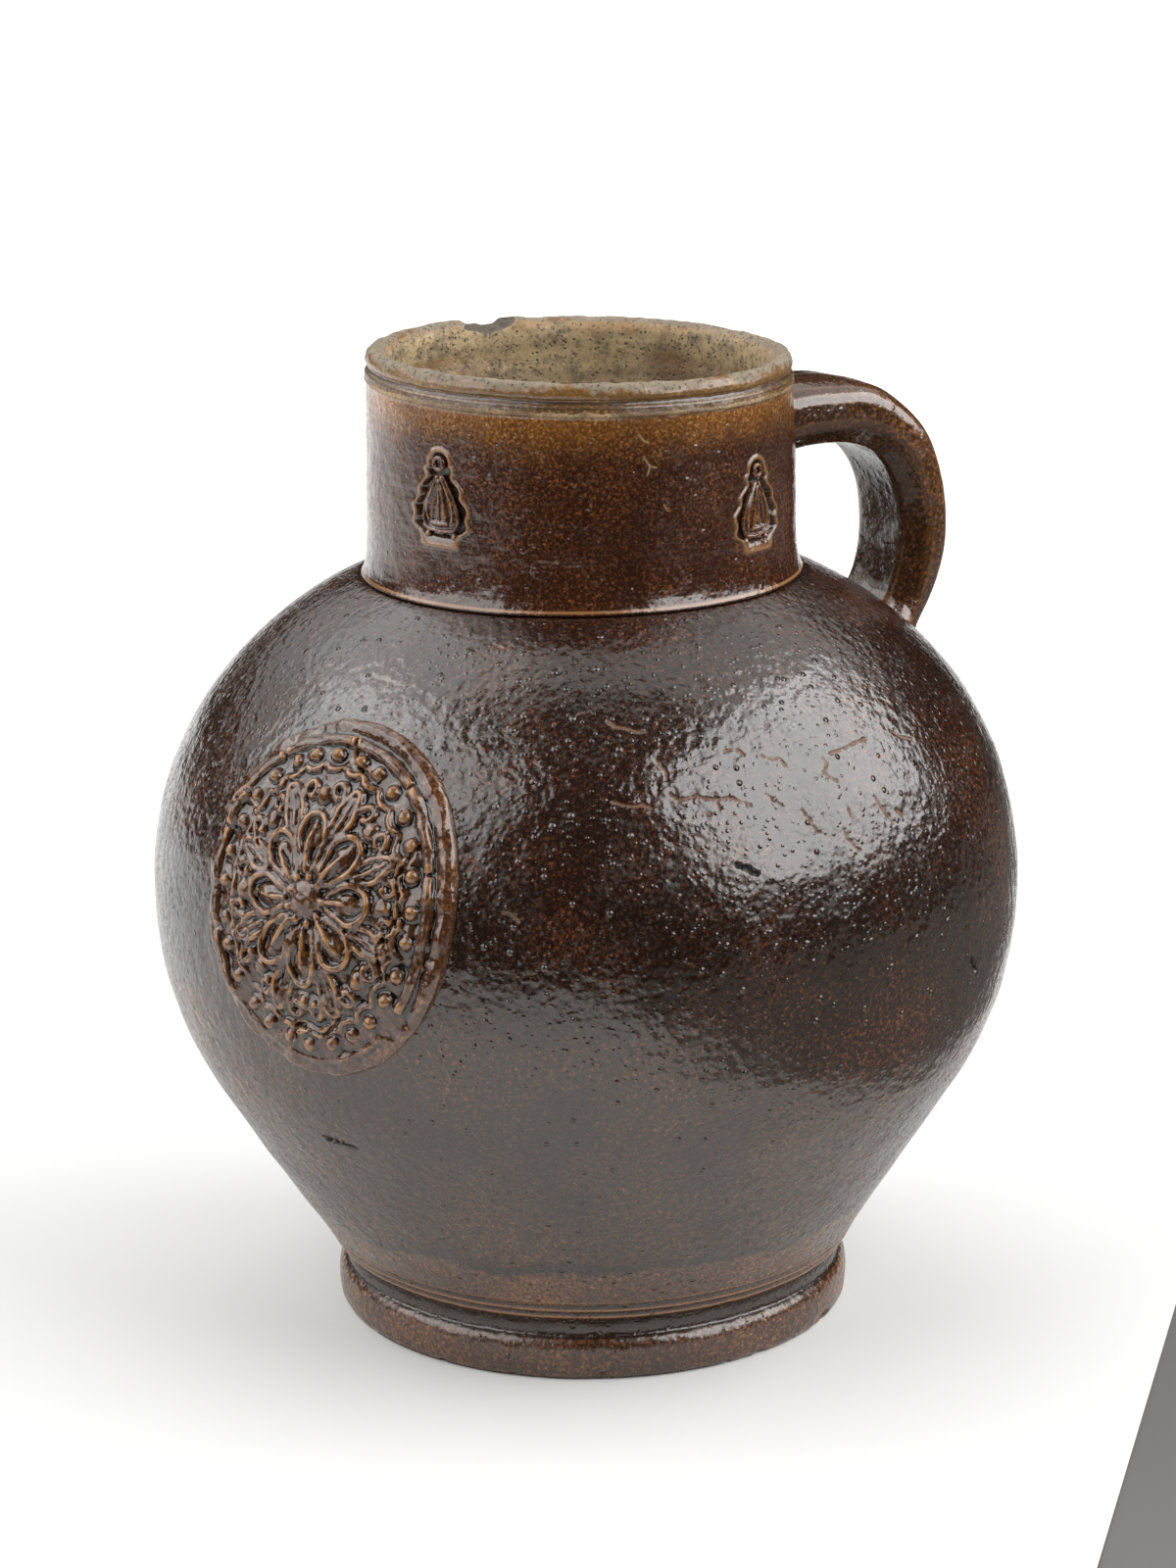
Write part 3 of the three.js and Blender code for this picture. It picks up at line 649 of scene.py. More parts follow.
cut_out = {"operation": "DIFFERENCE", "solver": "EXACT", "material_mode": "TRANSFER"}
apply_modifier(neck, "BOOLEAN", object=chip, **cut_out)
bpy.data.objects.remove(chip)

# The hollows, with sizes in mm: each is a bud's outline with a margin and a wavy edge
bud_angles = {"left": -159.6, "right": -67.2, "back": 108}
bud_drops = {"left": 26.4, "right": 29.5, "back": 28}
bud_height = 17.2
bud_tip = 12.8
finial_radius = 1.9
finial_level = bud_height - finial_radius
hollow_depth = 1.15
hollow_margin = 2.1
finial_margin = 0.7
wave_length = 4.4
far_away = 20
hollow_half_width = 12
hollow_foot, hollow_top = -5, 23
outer_wall = 48.3 * mm


def bud_half_width(v):
    """Half the width of a bud in mm at a height above its foot."""
    finial = math.sqrt(max(0, finial_radius ** 2 - (v - finial_level) ** 2))
    if v > finial_level:
        return finial
    share = min(1, max(0, v / bud_tip))
    return max(finial, 3.3 - 2.15 * share + 2.7 * math.sin(math.pi * share ** 0.63))


def smooth_step(value, low, high):
    share = min(1, max(0, (value - low) / (high - low)))
    return share * share * (3 - 2 * share)


def hollow_reach(u, v):
    """How far a place beside a bud lies outside the wavy edge of its hollow, in mm."""
    body = abs(u) - bud_half_width(min(bud_tip, max(0, v)))
    if body > 0 or not 0 < v < bud_tip:
        body = math.hypot(max(0, body), max(0, -v, v - bud_tip))
    wave = 0.45 * math.sin(2 * math.pi * v / wave_length)
    finial = math.hypot(u, v - finial_level) - finial_radius - finial_margin
    return min(body - hollow_margin - wave, finial)


def on_neck_plan(place, side):
    """A place on the neck as u round the wall and v up it, in mm, from the foot of a bud."""
    turn = math.atan2(place.y, place.x) - math.radians(bud_angles[side])
    turn = (turn + math.pi) % (2 * math.pi) - math.pi
    foot = top_level / mm - bud_drops[side] - bud_height / 2
    return turn * neck_radius / mm, place.z / mm - foot


def hollow_near(place):
    """How far a place on the neck's outer wall is outside the nearest hollow, in mm."""
    if math.hypot(place.x, place.y) > outer_wall:
        for side in bud_angles:
            u, v = on_neck_plan(place, side)
            if abs(u) < hollow_half_width and hollow_foot < v < hollow_top:
                return hollow_reach(u, v)
    return far_away


# Scratches on the neck, as turns in degrees and levels in mm
scratch_lines = [
    [(-103.6, 213.4), (-102.0, 211.5), (-100.3, 211.1)], [(-102.0, 211.5), (-102.7, 209.6)],
    [(-104.9, 218.7), (-103.4, 217.2), (-102.3, 216.8)], [(-98.4, 202.6), (-97.4, 201.2)],
]


def on_neck(turn, level):
    """The place on the neck's wall at a turn in degrees and a level in mm."""
    angle = math.radians(turn)
    return Vector((neck_radius * math.cos(angle), neck_radius * math.sin(angle), level * mm))


def scratch_gap(place):
    """How far a place on the neck's outer wall is from the nearest scratch."""
    radius = math.hypot(place.x, place.y)
    if radius < outer_wall:
        return scar_reach
    grow = neck_radius / radius
    return nearest(Vector((place.x * grow, place.y * grow, place.z)), scratch_paths, scar_reach)


def lean_over(place):
    """The neck leans a little, so its lip is lower at the front right and higher at the back left."""
    rise = max(0, (place.z - seat_level) / (top_level - seat_level))
    towards = place.x * math.cos(lean_angle) + place.y * math.sin(lean_angle)
    return Vector((place.x, place.y, place.z - lean * towards * rise))


scratch_paths = [[on_neck(*knot) for knot in line] for line in scratch_lines]
refine(neck, "FACE", lambda face: hollow_near(face.center) < 1.8 or scratch_gap(face.center) < 1.6 * mm, 3)
hollow_outs = [hollow_near(vertex.co) for vertex in neck.data.vertices]
dips = [smooth_step(-out, -0.1, 1.3) for out in hollow_outs]
lips = [math.exp(-(((out - 0.55) / 0.5) ** 2)) for out in hollow_outs]
for vertex, dip, lip in zip(neck.data.vertices, dips, lips):
    grow = 1 - (hollow_depth * dip - 0.3 * lip) * mm / neck_radius
    vertex.co = Vector((vertex.co.x * grow, vertex.co.y * grow, vertex.co.z))
scratches = [max(0, 1 - scratch_gap(vertex.co) / (0.32 * mm)) for vertex in neck.data.vertices]
keep_amounts(neck, "scratch", scratches)
# The hollows' painted shade, kept for the finish to darken them
keep_amounts(neck, "hollow_shade", [dip * 0.9 for dip in dips])
keep_amounts(neck, "thin", [lip * 0.55 for lip in lips])
reshape(neck, lambda place: lean_over(worn_lip(place)))
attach(neck, "root")
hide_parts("neck")

# Buds. Three small sprigs of clay, pressed in a mould and stuck in the hollows: a pod with ribs that
# close to a point above a plain bar, and a ring on top. The glaze is thin and tan on the ribs.
random.seed(7)


def flat(u, v, h):
    """A place on a sprig before it is laid on the pot: right, up and out, in mm."""
    return Vector((u, v, h)) * mm


def wire(knots, thickness, closed=False, radii=None):
    """A round strip of clay laid through knots, all in mm, and thinner where its radii say."""
    bpy.ops.object.select_all(action="DESELECT")
    bpy.ops.curve.primitive_bezier_curve_add(location=(0, 0, 0))
    strip = bpy.context.object
    bpy.ops.object.mode_set(mode="EDIT")
    bpy.ops.curve.select_all(action="SELECT")
    if len(knots) > 2:
        bpy.ops.curve.subdivide(number_cuts=len(knots) - 2)
    bpy.ops.object.mode_set(mode="OBJECT")
    spline = strip.data.splines[0]
    spline.use_cyclic_u = closed
    spline.resolution_u = 6
    for i, (point, knot) in enumerate(zip(spline.bezier_points, knots)):
        point.co = flat(*knot)
        point.handle_left_type = point.handle_right_type = "AUTO"
        point.radius = radii[i] if radii else 1
    strip.data.dimensions = "3D"
    strip.data.bevel_depth = thickness * mm / 2
    strip.data.bevel_resolution = 2
    strip.data.use_fill_caps = not closed
    bpy.ops.object.convert(target="MESH")
    return bpy.context.object


def pellet(place, size):
    """A flattened ball of clay, with its place and half its size in mm."""
    bpy.ops.object.select_all(action="DESELECT")
    bpy.ops.mesh.primitive_uv_sphere_add(
        segments=20, ring_count=12, radius=1, location=flat(*place), scale=[half * mm for half in size])
    return bpy.context.object


def press_together(name, parts, voxel, rounds):
    """Makes one skin of the parts of a sprig and softens it as the slip and the glaze do."""
    bpy.ops.object.select_all(action="DESELECT")
    for part in parts:
        part.select_set(True)
    bpy.context.view_layer.objects.active = parts[0]
    bpy.ops.object.join()
    sprig = bpy.context.object
    sprig.name = sprig.data.name = name
    bpy.ops.object.transform_apply()
    apply_modifier(sprig, "REMESH", mode="VOXEL", voxel_size=voxel, use_smooth_shade=True)
    apply_modifier(sprig, "SMOOTH", factor=0.5, iterations=rounds)
    return sprig


def mark_edges(piece, rounds, gain):
    """Keeps how much each point stands out from its neighbours: above 0 on an edge, below in a hollow."""
    mesh = piece.data
    count = len(mesh.vertices)
    places = numpy.empty(count * 3)
    mesh.vertices.foreach_get("co", places)
    places = places.reshape(-1, 3)
    normals = numpy.empty(count * 3)
    mesh.vertices.foreach_get("normal", normals)
    normals = normals.reshape(-1, 3)
    ends = numpy.empty(len(mesh.edges) * 2, dtype=int)
    mesh.edges.foreach_get("vertices", ends)
    first, second = ends[::2], ends[1::2]
    links = numpy.bincount(ends, minlength=count).clip(1)

    def average(values):
        total = numpy.bincount(first, values[second], count) + numpy.bincount(second, values[first], count)
        return total / links

    around = numpy.stack([average(places[:, i]) for i in range(3)], axis=1)
    stand_out = ((places - around) * normals).sum(axis=1)
    for _ in range(rounds):
        stand_out = (stand_out + average(stand_out)) / 2
    keep_amounts(piece, "edge", (stand_out * gain / mm).clip(-1, 1))


bpy.ops.object.select_all(action="DESELECT")
bpy.ops.mesh.primitive_cylinder_add(vertices=72, radius=1, depth=1, location=(0, 0, 0))
body = bpy.context.object
for vertex in body.data.vertices:
    turn = math.atan2(vertex.co.x, -vertex.co.y) / math.pi
    v = bud_tip * abs(turn)
    u = math.copysign(bud_half_width(v) - 0.3, turn)
    vertex.co = flat(u, v, -0.55 if vertex.co.z > 0 else -2.2)
bud_parts = [body, pellet((0, 5.2, -0.75), (4.1, 5.8, 0.85))]
rib_lines = (
    ([(3.3, 2.4, -0.2), (3.7, 5.2, 0), (2.4, 9, 0), (0.5, 12.5, -0.1)], 0.75, (0.9, 1, 1, 0.7)),
    ([(2.1, 2.3, 0.05), (1.6, 6, 0.1), (0.8, 9.5, 0.05), (0, 11.8, 0)], 0.85, (1, 1, 0.9, 0.7)),
)
for hand in (-1, 1):
    rim = [(hand * (bud_half_width(v) - 0.45), v, -0.35) for v in (0.3, 2.5, 5, 8, 11, 12.6)]
    bud_parts.append(wire(rim, 0.9, radii=(0.9, 1, 1, 1, 0.8, 0.7)))
    for knots, thickness, radii in rib_lines:
        bud_parts.append(wire([(hand * u, v, h) for u, v, h in knots], thickness, radii=radii))
    bud_parts.append(pellet((hand * 3.9, -0.8, -0.5), (0.9, 0.8, 0.7)))
for knots, thickness in (
    ([(0, 2.4, 0), (0, 6, 0.05), (0, 11.5, 0)], 0.7),
    ([(-2.5, 2.1, 0.05), (0, 1.9, 0.15), (2.5, 2.1, 0.05)], 1.1),
    ([(-3.4, 0.5, -0.3), (0, 0.2, -0.15), (3.4, 0.5, -0.3)], 0.9),
):
    bud_parts.append(wire(knots, thickness))
ring_turns = [2 * math.pi * i / 8 for i in range(8)]
ring = [(1.3 * math.cos(a), finial_level + 1.3 * math.sin(a), -0.2) for a in ring_turns]
bud_parts.append(wire(ring, 1.1, closed=True))
bud_parts.append(pellet((0, finial_level, -1.3), (1.4, 1.4, 0.6)))
bud = press_together("bud_left", bud_parts, 0.2 * mm, 2)
mark_edges(bud, 1, 22)


def sprig_colour(tree, place, ground, thin, painted_shade):
    """Colour of moulded relief under glaze: tan where it runs off the edges, with painted shade in the
    hollows.
    """
    edge = node(tree, "Attribute", result="Fac", attribute_name="edge")
    scatter = node(tree, "TexNoise", {"Vector": place, "Scale": 1 / (1.4 * mm), "Detail": 3})
    uneven = node(tree, "Math", {0: scatter, 1: 0.5, 2: edge}, operation="MULTIPLY_ADD")
    ridges = node(tree, "MapRange", {"Value": uneven, "From Min": 0.5, "From Max": 1}, **eased)
    # Painted shade: the hollows are darkened by how far they sink below their neighbours
    hollows = node(tree, "MapRange", {"Value": edge, "From Min": -0.06, "From Max": -0.45}, **eased)
    colour = node(tree, "Mix", {0: ridges, 6: ground, 7: linear(thin)})
    return node(tree, "Mix", {0: hollows, 6: colour, 7: linear(painted_shade)})


# Salt glaze over small relief, as on the neck around it, with painted shade in its hollows
bud_glaze, tree, shader, place = new_finish("bud_salt_glaze", 0.2, 1.75)
ground = mottle(tree, place, "#3a2012", "#673c1f", "#94602f", 0.03)
colour = sprig_colour(tree, place, ground, "#a3754a", "#17110c")
cover(tree, shader, colour, salt_skin(tree, place, 0.05, 0.15))

flat_bud = [vertex.co.copy() for vertex in bud.data.vertices]
buds = {"left": bud}
for side in ("right", "back"):
    copy = bud.copy()
    copy.data = bud.data.copy()
    copy.name = copy.data.name = f"bud_{side}"
    bpy.context.scene.collection.objects.link(copy)
    buds[side] = copy
for side, piece in buds.items():
    foot = top_level - bud_drops[side] * mm - bud_height * mm / 2
    for vertex, spot in zip(piece.data.vertices, flat_bud):
        turn = math.radians(bud_angles[side]) + spot.x / neck_radius
        radius = neck_radius + spot.z
        vertex.co = lean_over(Vector((radius * math.cos(turn), radius * math.sin(turn), foot + spot.y)))
    piece.data.update()
    piece.data.materials.append(bud_glaze)
    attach(piece, "root")
    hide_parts(f"neck_stamp_{side}")

# Handle. A strap of clay pulled by hand to a thick band, with a crowned back and corners drawn in by
# the fingers, and bent from the neck down to the shoulder.
strap_thick = (16 * mm, 12 * mm)
landing = arc_centre + belly_arc * Vector((math.cos(math.radians(41.3)), math.sin(math.radians(41.3))))
landing_way = Vector((math.cos(math.radians(56.6)), math.sin(math.radians(56.6))))
strap_start = Vector((46.8 * mm, top_level - 21.4 * mm))
strap_out = strap_start + Vector((51, 10.6)) * mm
strap_down = landing + landing_way * 18.8 * mm
strap_straight = landing + landing_way * 5.9 * mm
strap_end = landing - landing_way * 3 * mm


def lengths_along(points):
    """How far along a line each of its points is."""
    lengths = [0]
    for here, there in zip(points, points[1:]):
        lengths.append(lengths[-1] + (there - here).length)
    return lengths


def walk(points, lengths, share):
    """The place at a share of a line's length, and the way along it there."""
    reach = share * lengths[-1]
    i = min(len(points) - 2, max(0, int(numpy.searchsorted(lengths, reach)) - 1))
    step = points[i + 1] - points[i]
    part = (reach - lengths[i]) / (lengths[i + 1] - lengths[i])
    return points[i] + step * part, step.normalized()


bend_knots = [knot.to_3d() for knot in (strap_start, strap_out, strap_down, strap_straight)]
bend_points = [point.to_2d() for point in interpolate_bezier(*bend_knots, 400)]
bend_points += straight(strap_straight, strap_end, 0.2 * mm)[1:] + [strap_end]
bend_lengths = lengths_along(bend_points)
strap_length = bend_lengths[-1]


def strap_section(thick):
    """Half of the strap's section: from the middle of its inner face round to the middle of its back."""
    low, high = -thick / 2, thick / 2
    corners = [
        (0, low + 0.2 * mm), (8.4 * mm, low), (9.8 * mm, low + 0.5 * mm), (12.7 * mm, low + 3.6 * mm),
        (13.6 * mm, low + 4.9 * mm), (14 * mm, low + 6.4 * mm), (13.7 * mm, high - 4.6 * mm),
        (12.8 * mm, high - 2.7 * mm), (10.9 * mm, high - 1.3 * mm), (7.6 * mm, high - 0.4 * mm), (0, high),
    ]
    return [Vector(c) for c in corners]


def strap_point(turn, share, grow=0):
    """A point of the strap's skin: turn runs from 0 at the inner face's middle to 0.5 at the back, to 1."""
    corners = strap_section(strap_thick[0] + (strap_thick[1] - strap_thick[0]) * share)
    half = turn * 2 if turn <= 0.5 else 2 - turn * 2
    across, out = walk(corners, lengths_along(corners), half)[0]
    if grow:
        size = math.hypot(across, out)
        across, out = across * (1 + grow / size), out * (1 + grow / size)
    if turn > 0.5:
        across = -across
    centre, way = walk(bend_points, bend_lengths, min(1, max(0, share)))
    spot = centre + Vector((-way.y, way.x)) * out
    return Vector((spot.x, across, spot.y))


def collar(name, around, rings, place_of):
    """A tube of clay, drawn as a cylinder with rings and then led to where a rule puts each point."""
    bpy.ops.object.select_all(action="DESELECT")
    bpy.ops.mesh.primitive_cylinder_add(vertices=around, radius=1, depth=1, location=(0, 0, 0.5))
    tube = bpy.context.object
    tube.name = tube.data.name = name
    bpy.ops.object.transform_apply(location=True)

    def runs_up(edge):
        low, high = (tube.data.vertices[i].co.z for i in edge.vertices)
        return abs(low - high) > 0.5

    refine(tube, "EDGE", runs_up, rings - 1)
    reshape(tube, lambda p: place_of((math.atan2(p.y, p.x) / (2 * math.pi)) % 1, p.z))
    close_skin()
    return tube


def uneven_strap(place):
    """The strap and the clay at its ends are uneven from the fingers, over stretches of 14 mm."""
    stretches = [place / (14 * mm) + Vector(shift) for shift in ((0, 0, 0), (9, 2, 5), (4, 8, 1))]
    return place + Vector([noise.noise(stretch) for stretch in stretches]) * 0.55 * mm


handle = collar("strap_handle", 96, 110, strap_point)
apply_modifier(handle, "SUBSURF", levels=1, render_levels=1)
reshape(handle, uneven_strap)
mark_edges(handle, 3, 60)

# Salt glaze on the strap: dark brown with golden-brown specks, and tan where the wash is thin on
# its corners
handle_glaze, tree, shader, place = new_finish("handle_salt_glaze", 0.17, 1.78)
colour = mottle(tree, place, "#352013", "#5f3b1f", "#91602e", 0.02)
edge = node(tree, "Attribute", result="Fac", attribute_name="edge")
sharp = {"From Min": 0.25, "From Max": 0.8, "To Max": 0.3}
corners = node(tree, "MapRange", {"Value": edge, **sharp}, **eased)
colour = node(tree, "Mix", {0: corners, 6: colour, 7: linear("#8a5c34")})
cover(tree, shader, colour, salt_skin(tree, place, 0.22, 0.8))
salt_gloss(tree, place, shader, 0.16, 0.36)

handle.data.materials.append(handle_glaze)
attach(handle, "root")
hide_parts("handle")


# Luting. Soft clay pressed round both ends of the strap and wiped into a hollow fillet, which runs
# out thin on the strap and on the wall. It carries the strap's glaze.
def outside_wall(place):
    """How far a place lies outside the pot's wall."""
    radius = math.hypot(place.x, place.y)
    if place.z > seat_level:
        return radius - neck_radius
    return (Vector((radius, place.z)) - arc_centre).length - belly_arc


def wall_share(turn, outer, inner, grow):
    """The share along the strap, between two, at which its skin, grown outwards, meets the wall."""
    for _ in range(24):
        middle = (outer + inner) / 2
        if outside_wall(strap_point(turn, middle, grow)) > 0:
            outer = middle
        else:
            inner = middle
    return (outer + inner) / 2


def fillet(name, inner_end, reach, spread):
    """A collar of clay from the strap's skin out to the wall, at the strap's end with share 0 or 1."""
    toward = 1 - 2 * inner_end
    known = {}

    def ends(turn):
        """Where the fillet starts on the strap and ends on the wall, and how wide it is there."""
        if turn not in known:
            around = Vector((math.cos(2 * math.pi * turn), math.sin(2 * math.pi * turn), inner_end)) * 2
            lump = 1 + 0.35 * noise.noise(around)
            outer = inner_end + toward * 0.3
            foot = wall_share(turn, outer, inner_end, spread * lump)
            top = wall_share(turn, outer, inner_end, 0) + toward * reach * lump / strap_length
            known[turn] = top, foot, spread * lump
        return known[turn]

    def place_of(turn, ring):
        top, foot, wide = ends(round(turn, 6))
        bend = ring * 1.12
        if bend <= 1:
            share = top + (foot - top) * math.sin(bend * math.pi / 2)
            grow = -0.35 * mm + (wide + 0.35 * mm) * (1 - math.cos(bend * math.pi / 2))
            return strap_point(turn, share, grow)
        return strap_point(turn, foot - toward * (bend - 1) * 12 * mm / strap_length, wide)

    return collar(name, 120, 22, place_of)


for end, inner_end, reach, spread in (("upper", 0, 4.5 * mm, 2.2 * mm), ("lower", 1, 6 * mm, 3.2 * mm)):
    luting = fillet(f"{end}_fillet", inner_end, reach, spread)
    reshape(luting, uneven_strap)
    mark_edges(luting, 3, 60)
    luting.data.materials.append(handle_glaze)
    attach(luting, "root")
    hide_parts(f"{end}_luting")

# Medallion. An oval sprig pressed in a mould and stuck to the side of the belly with slip: a rim,
# a ring of pearls, and a flower with leaves around it. The glaze is thin on its edges, its hollows are
# darkened with painted shade, and the clay tore a little as it dried. Its sizes are in mm.
oval = Vector((34.3, 40.2))
sprig_angle = math.radians(-156.9)
sprig_rise = math.radians(13.7)
sprig_tilt = math.radians(1.9)
pad_level, pad_depth = 1.3, -1.6


def round_oval(inset, degrees, height):
    """A place on an oval a distance inside the medallion's edge, at an angle from the right."""
    turn = math.radians(degrees)
    return (oval.x - inset) * math.cos(turn), (oval.y - inset) * math.sin(turn), height


def from_middle(out, degrees, height):
    """A place at a distance from the flower's middle, drawn out upwards as the oval is."""
    turn = math.radians(degrees)
    return out * math.cos(turn), out * math.sin(turn) * oval.y / oval.x, height


def flower_line(knots, degrees, thickness, closed=False, radii=None, hand=1):
    """A strip through knots given as distance, turn and height, turned together by some degrees."""
    turned = [from_middle(out, degrees + hand * off, height) for out, off, height in knots]
    sprig_parts.append(wire(turned, thickness, closed, radii))


bpy.ops.object.select_all(action="DESELECT")
bpy.ops.mesh.primitive_cylinder_add(vertices=160, radius=1, depth=1, location=(0, 0, 0))
pad = bpy.context.object
for vertex in pad.data.vertices:
    vertex.co = Vector((vertex.co.x * (oval.x - 0.6) * mm, vertex.co.y * (oval.y - 0.6) * mm,
                        (pad_level if vertex.co.z > 0 else pad_depth) * mm))
sprig_parts = [pad]
sprig_parts.append(wire([round_oval(0.9, a, -0.25) for a in range(0, 360, 15)], 2.6, closed=True))
slip_ridge = [round_oval(0.7, a, 0.2) for a in range(-48, 120, 12)]
sprig_parts.append(wire(slip_ridge, 4.6, radii=[0.5, 0.8] + [1] * 10 + [0.8, 0.5]))
# The rim came out of the mould in stretches, with small breaks between them
rim_stretches = [(-38, 12), (13.5, 47), (48.5, 83), (84.5, 121), (122.5, 160), (161.5, 196), (197.5, 222)]
for start, end in rim_stretches:
    turns = [start + (end - start) * i / 4 for i in range(5)]
    rim = [round_oval(4.6 + random.uniform(-0.2, 0.2), turn, 1.6) for turn in turns]
    sprig_parts.append(wire(rim, 2.6, radii=(0.9, 1, 1, 1, 0.9)))
sprig_parts.append(wire([round_oval(4.2, a, 1.0) for a in range(218, 326, 18)], 1.6))
# Pearls, each with a scallop round its inner side
pearls = 28
scallop = [(10.1, -6.2, 1.3), (11.3, -3, 1.8), (11.6, 0, 1.9), (11.3, 3, 1.8), (10.1, 6.2, 1.3)]
for i in range(pearls):
    wobble = random.uniform(-0.25, 0.25)
    a = 360 * i / pearls
    sprig_parts.append(pellet(round_oval(8.1 + wobble, a + wobble * 4, 1.3), (1.7, 1.7, 1.6)))
    sprig_parts.append(wire([round_oval(inset, a + off, height) for inset, off, height in scallop], 1.3))
# Petals with an edge and a rib, and between them leaves with the same and with curls beside their tips
petal_body = [(5, 0, 0.2), (8.5, 0, 0.1), (12, 0, 0.1), (15, 0, 0.5)]
petal_rib = [(5, 0, 2.6), (9, 1.5, 3), (12.6, 0, 2.6)]
leaf_edge = [(13, 0, 1.5), (16.5, -7.5, 2), (19.5, -5, 2), (22.3, 0, 1.9), (19.5, 5, 2), (16.5, 7.5, 2)]
leaf_rib = [(13, 0, 1.9), (21, 0, 2.1)]
leaf_body = [(14, 0, 0.9), (17.5, 0, 0.7), (21.5, 0, 1.1)]
curl = [
    (17.6, 0.4, 1.6), (19.4, 7, 1.8), (21.6, 10, 1.9), (22, 14.5, 1.9), (19.8, 15.5, 1.9), (19.2, 11.5, 1.8),
]
for i in range(8):
    a = 45 * i + random.uniform(-2, 2)
    between = a + 22.5
    long = 16 + random.uniform(-0.6, 0.6)
    petal_edge = [(5, 0, 1.6), (9, -17, 2.2), (13.2, -15, 2.3), (long, 0, 2.3), (13.2, 15, 2.3), (9, 17, 2.2)]
    flower_line(petal_body, a, 5.6, radii=(0.5, 0.92, 1, 0.5))
    flower_line(petal_edge, a, 1.5, closed=True)
    flower_line(petal_rib, a, 1.3, radii=(1, 1, 0.6))
    flower_line(leaf_edge, between, 1.4, closed=True)
    flower_line(leaf_rib, between, 1.1)
    flower_line(leaf_body, between, 3.4, radii=(0.5, 1, 0.4))
    sprig_parts.append(pellet(from_middle(19.4, a, 1.2), (2, 2.3, 1.5)))
    for hand in (-1, 1):
        flower_line(curl, between, 1.4, radii=(1, 1, 1, 0.9, 0.9, 1.3), hand=hand)
sprig_parts.append(pellet((0, 0, 1.4), (4.2, 4.6, 2.3)))
for i in range(9):
    sprig_parts.append(pellet(from_middle(4.3, 40 * i, 2.4), (0.85, 0.85, 0.8)))
sprig = press_together("moulded_medallion", sprig_parts, 0.4 * mm, 4)
tear_lines = [
    [(-29, 18), (-24, 20.5), (-19, 17), (-16.5, 10), (-12, 7.5)], [(3, 36), (4.5, 31), (10, 27.5)],
    [(25.5, 14), (22, 7), (23.5, -1), (19, -8), (20, -15)], [(-6, -33), (-3, -28), (4, -29.5), (9, -25)],
]
tears = [[flat(u, v, 0) for u, v in line] for line in tear_lines]


def torn(place):
    """The clay tore along a few ragged lines as it shrank, and its face is a little uneven."""
    if place.z <= 0:
        return place
    spot = Vector((place.x, place.y, 0))
    near_tear = min(line_gap(spot, line, 10 * mm) for line in tears)
    ragged = 0.5 * mm * noise.noise(place / (1.6 * mm))
    depth = max(0, 1 - max(0, near_tear + ragged) / (0.6 * mm)) * 1.3 * mm
    face = (0.9 * noise.noise(place / (5 * mm)) + 0.2 * noise.noise(place / (1.8 * mm))) * mm
    return Vector((place.x, place.y, place.z - depth + face))


def on_belly(place):
    """A place on the flat medallion, laid on the wall of the belly."""
    u = place.x * math.cos(sprig_tilt) - place.y * math.sin(sprig_tilt)
    v = place.x * math.sin(sprig_tilt) + place.y * math.cos(sprig_tilt)
    rise = sprig_rise + v / belly_arc
    wall_radius = arc_centre.x + belly_arc * math.cos(rise)
    turn = sprig_angle + u / wall_radius
    way = Vector((math.cos(rise) * math.cos(turn), math.cos(rise) * math.sin(turn), math.sin(rise)))
    middle = Vector((arc_centre.x * math.cos(turn), arc_centre.x * math.sin(turn), arc_centre.y))
    wall = belly_skin.ray_cast(middle + way * (belly_arc + 10 * mm), -way)[0]
    return wall + way * place.z


reshape(sprig, torn)
belly_skin = BVHTree.FromPolygons(
    [vertex.co for vertex in belly.data.vertices], [face.vertices for face in belly.data.polygons])
mark_edges(sprig, 1, 16)
reshape(sprig, on_belly)

# Salt glaze over moulded relief: glassy brown, tan along every raised edge, black painted shade in the
# hollows
sprig_glaze, tree, shader, place = new_finish("sprig_salt_glaze", 0.2, 1.7)
ground = mottle(tree, place, "#3f2517", "#634027", "#90623a", 0.02)
colour = sprig_colour(tree, place, ground, "#94673c", "#150e0a")
cover(tree, shader, colour, salt_skin(tree, place, 0.2, 0.4))
salt_gloss(tree, place, shader, 0.11, 0.32)
sprig.data.materials.append(sprig_glaze)
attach(sprig, "root")
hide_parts("medallion")

# Paper and table. The jug stands on a sheet of white paper whose edge runs off to the right of it,
# over a grey tabletop. Far behind the jug the paper has a painted glow, an emission that brightens it to
# white.
view_turn = math.radians(-30)
paper_edge_point = Vector((140, -19)) * mm
paper_edge_slope = 0.254
side, near, far = 4, -0.5, 6


def staged_plane(name, corners, level):
    """A flat sheet with its corners given in the camera's own left-right and near-far directions."""
    bpy.ops.object.select_all(action="DESELECT")
    bpy.ops.mesh.primitive_plane_add(size=1, location=(0, 0, 0))
    sheet = bpy.context.object
    sheet.name = name
    turn = Matrix.Rotation(view_turn, 3, "Z")
    for vertex, (across, depth) in zip(sheet.data.vertices, corners):
        vertex.co = turn @ Vector((across, depth, level))
    return sheet


def paper_edge(depth):
    return paper_edge_point.x + paper_edge_slope * (depth - paper_edge_point.y)


paper_corners = [(-side, near), (paper_edge(near), near), (-side, far), (paper_edge(far), far)]
paper = staged_plane("paper", paper_corners, 0)
table = staged_plane("table", [(-side, near), (side, near), (-side, far), (side, far)], -0.4 * mm)

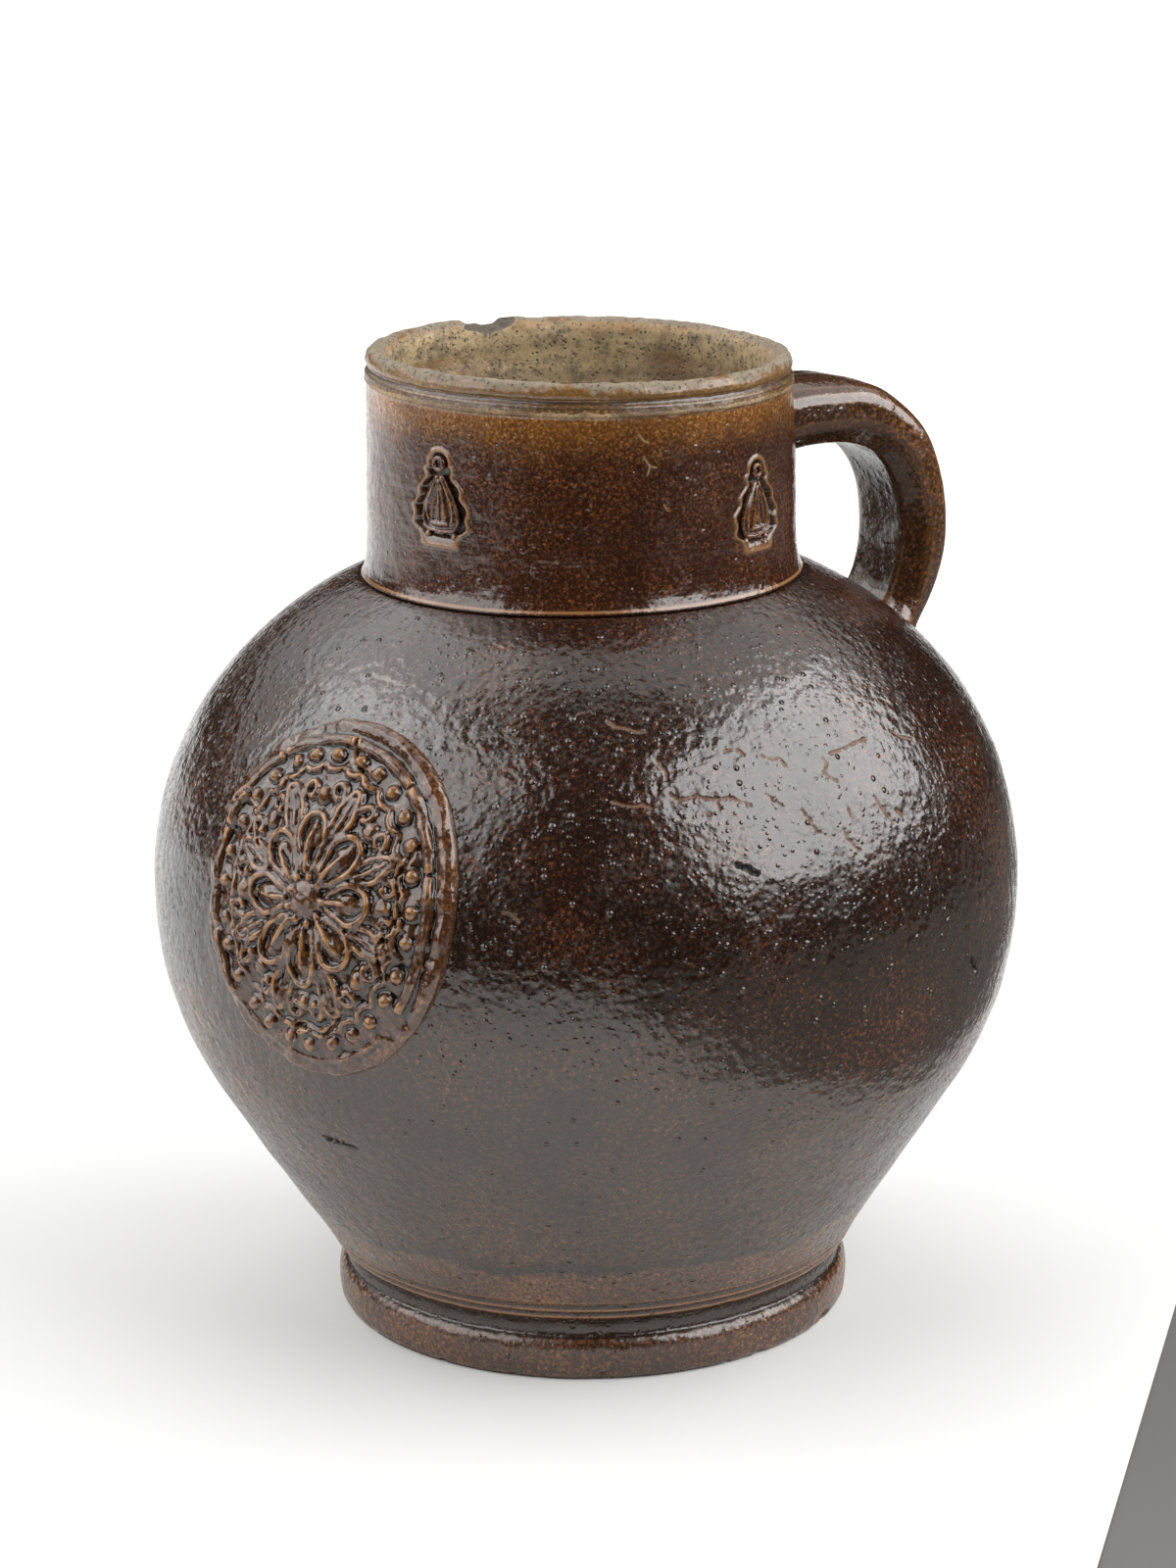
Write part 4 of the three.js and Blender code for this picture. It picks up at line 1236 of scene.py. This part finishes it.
white_paper, tree, shader, place = new_finish("white_paper", 0.9, 1.45)
shader.inputs["Base Color"].default_value = linear("#dededc")
behind = (-math.sin(view_turn), math.cos(view_turn), 0)
# Painted glow: the paper emits light that grows from almost none near the jug to full white 1.3 m behind it
reach = node(tree, "VectorMath", {0: place, 1: behind}, result="Value", operation="DOT_PRODUCT")
painted_glow = node(tree, "MapRange", {"Value": reach, "From Min": -0.1, "From Max": 1.3}, **eased)
shader.inputs["Emission Color"].default_value = linear("#ffffff")
tree.links.new(painted_glow, shader.inputs["Emission Strength"])
paper.data.materials.append(white_paper)
grey_tabletop, tree, shader, place = new_finish("grey_tabletop", 0.7, 1.45)
shader.inputs["Base Color"].default_value = linear("#656462")
table.data.materials.append(grey_tabletop)

# Light. Two big soft boxes hang high to the left and right, a little in front of the jug, and weaker
# panels hang over and behind it. The room in front is dark.
lamp_aim = Vector((0, 0, 130 * mm))


def soft_box(name, azimuth, elevation, distance, size, power, shift=(0, 0)):
    """A soft box that faces the jug from an azimuth (0 is the camera's side, to the right is positive)."""
    data = bpy.data.lights.new(name, "AREA")
    data.shape = "RECTANGLE"
    data.size, data.size_y = size
    data.energy = power
    lamp = bpy.data.objects.new(name, data)
    bpy.context.scene.collection.objects.link(lamp)
    az, el = math.radians(azimuth), math.radians(elevation)
    away = Vector((math.sin(az) * math.cos(el), -math.cos(az) * math.cos(el), math.sin(el)))
    across = Vector((math.cos(az), math.sin(az), 0))
    above = away.cross(across) * -1
    centre = lamp_aim + distance * away + shift[0] * across + shift[1] * above
    facing = Matrix((across, above, away)).transposed().to_4x4()
    lamp.matrix_world = Matrix.Rotation(view_turn, 4, "Z") @ (Matrix.Translation(centre) @ facing)
    lamp.visible_camera = False


soft_box("right_soft_box", 68, 37, 0.9, (1.25, 0.75), 13.8, shift=(0.12, 0.03))
soft_box("left_soft_box", -68, 36, 0.9, (1.2, 0.88), 9, shift=(-0.12, 0.03))
soft_box("overhead_panel", 180, 66, 1.4, (2.6, 1.5), 13)
soft_box("rear_left_panel", -128, 46, 1.2, (1.6, 1.4), 5.5)

room = bpy.data.worlds.new("dark_room")
room.use_nodes = True
bpy.context.scene.world = room
tree = room.node_tree
seen = node(tree, "LightPath", result="Is Camera Ray")
matt = node(tree, "LightPath", result="Is Diffuse Ray")
fill = node(tree, "Math", {0: matt, 1: 0.14, 2: 0.012}, operation="MULTIPLY_ADD")
dark = node(tree, "Background", {"Color": linear("#ffffff"), "Strength": fill})
white = node(tree, "Background", {"Color": linear("#ffffff"), "Strength": 1})
mixed = node(tree, "MixShader", {0: seen, 1: dark, 2: white})
tree.links.new(mixed, tree.nodes["World Output"].inputs["Surface"])

# Camera. It stands 966 mm in front of the jug's axis and 391 mm above the table, looks down at the
# jug, and is rolled by less than a degree. Its distances in pixels are those of a frame 1600 high.
camera_distance = 966 * mm
camera_level = 391 * mm
camera_pitch = 0.26779
camera_roll = -0.01443
photo_height = 1600
focal_pixels = 4323.33
principal_offset = 600 - 597.29
sensor = 36
camera_data = bpy.data.cameras.new("camera")
camera_data.sensor_fit = "VERTICAL"
camera_data.sensor_height = sensor
camera_data.lens = focal_pixels * sensor / photo_height
camera_data.shift_x = principal_offset / photo_height
camera_data.clip_start = 0.05
camera_data.clip_end = 50
camera = bpy.data.objects.new("camera", camera_data)
bpy.context.scene.collection.objects.link(camera)
camera.matrix_world = (
    Matrix.Rotation(view_turn, 4, "Z")
    @ Matrix.Translation((0, -camera_distance, camera_level))
    @ Matrix.Rotation(math.pi / 2 - camera_pitch, 4, "X")
    @ Matrix.Rotation(camera_roll, 4, "Z")
)
bpy.context.scene.camera = camera
bpy.context.scene.view_settings.view_transform = "Standard"
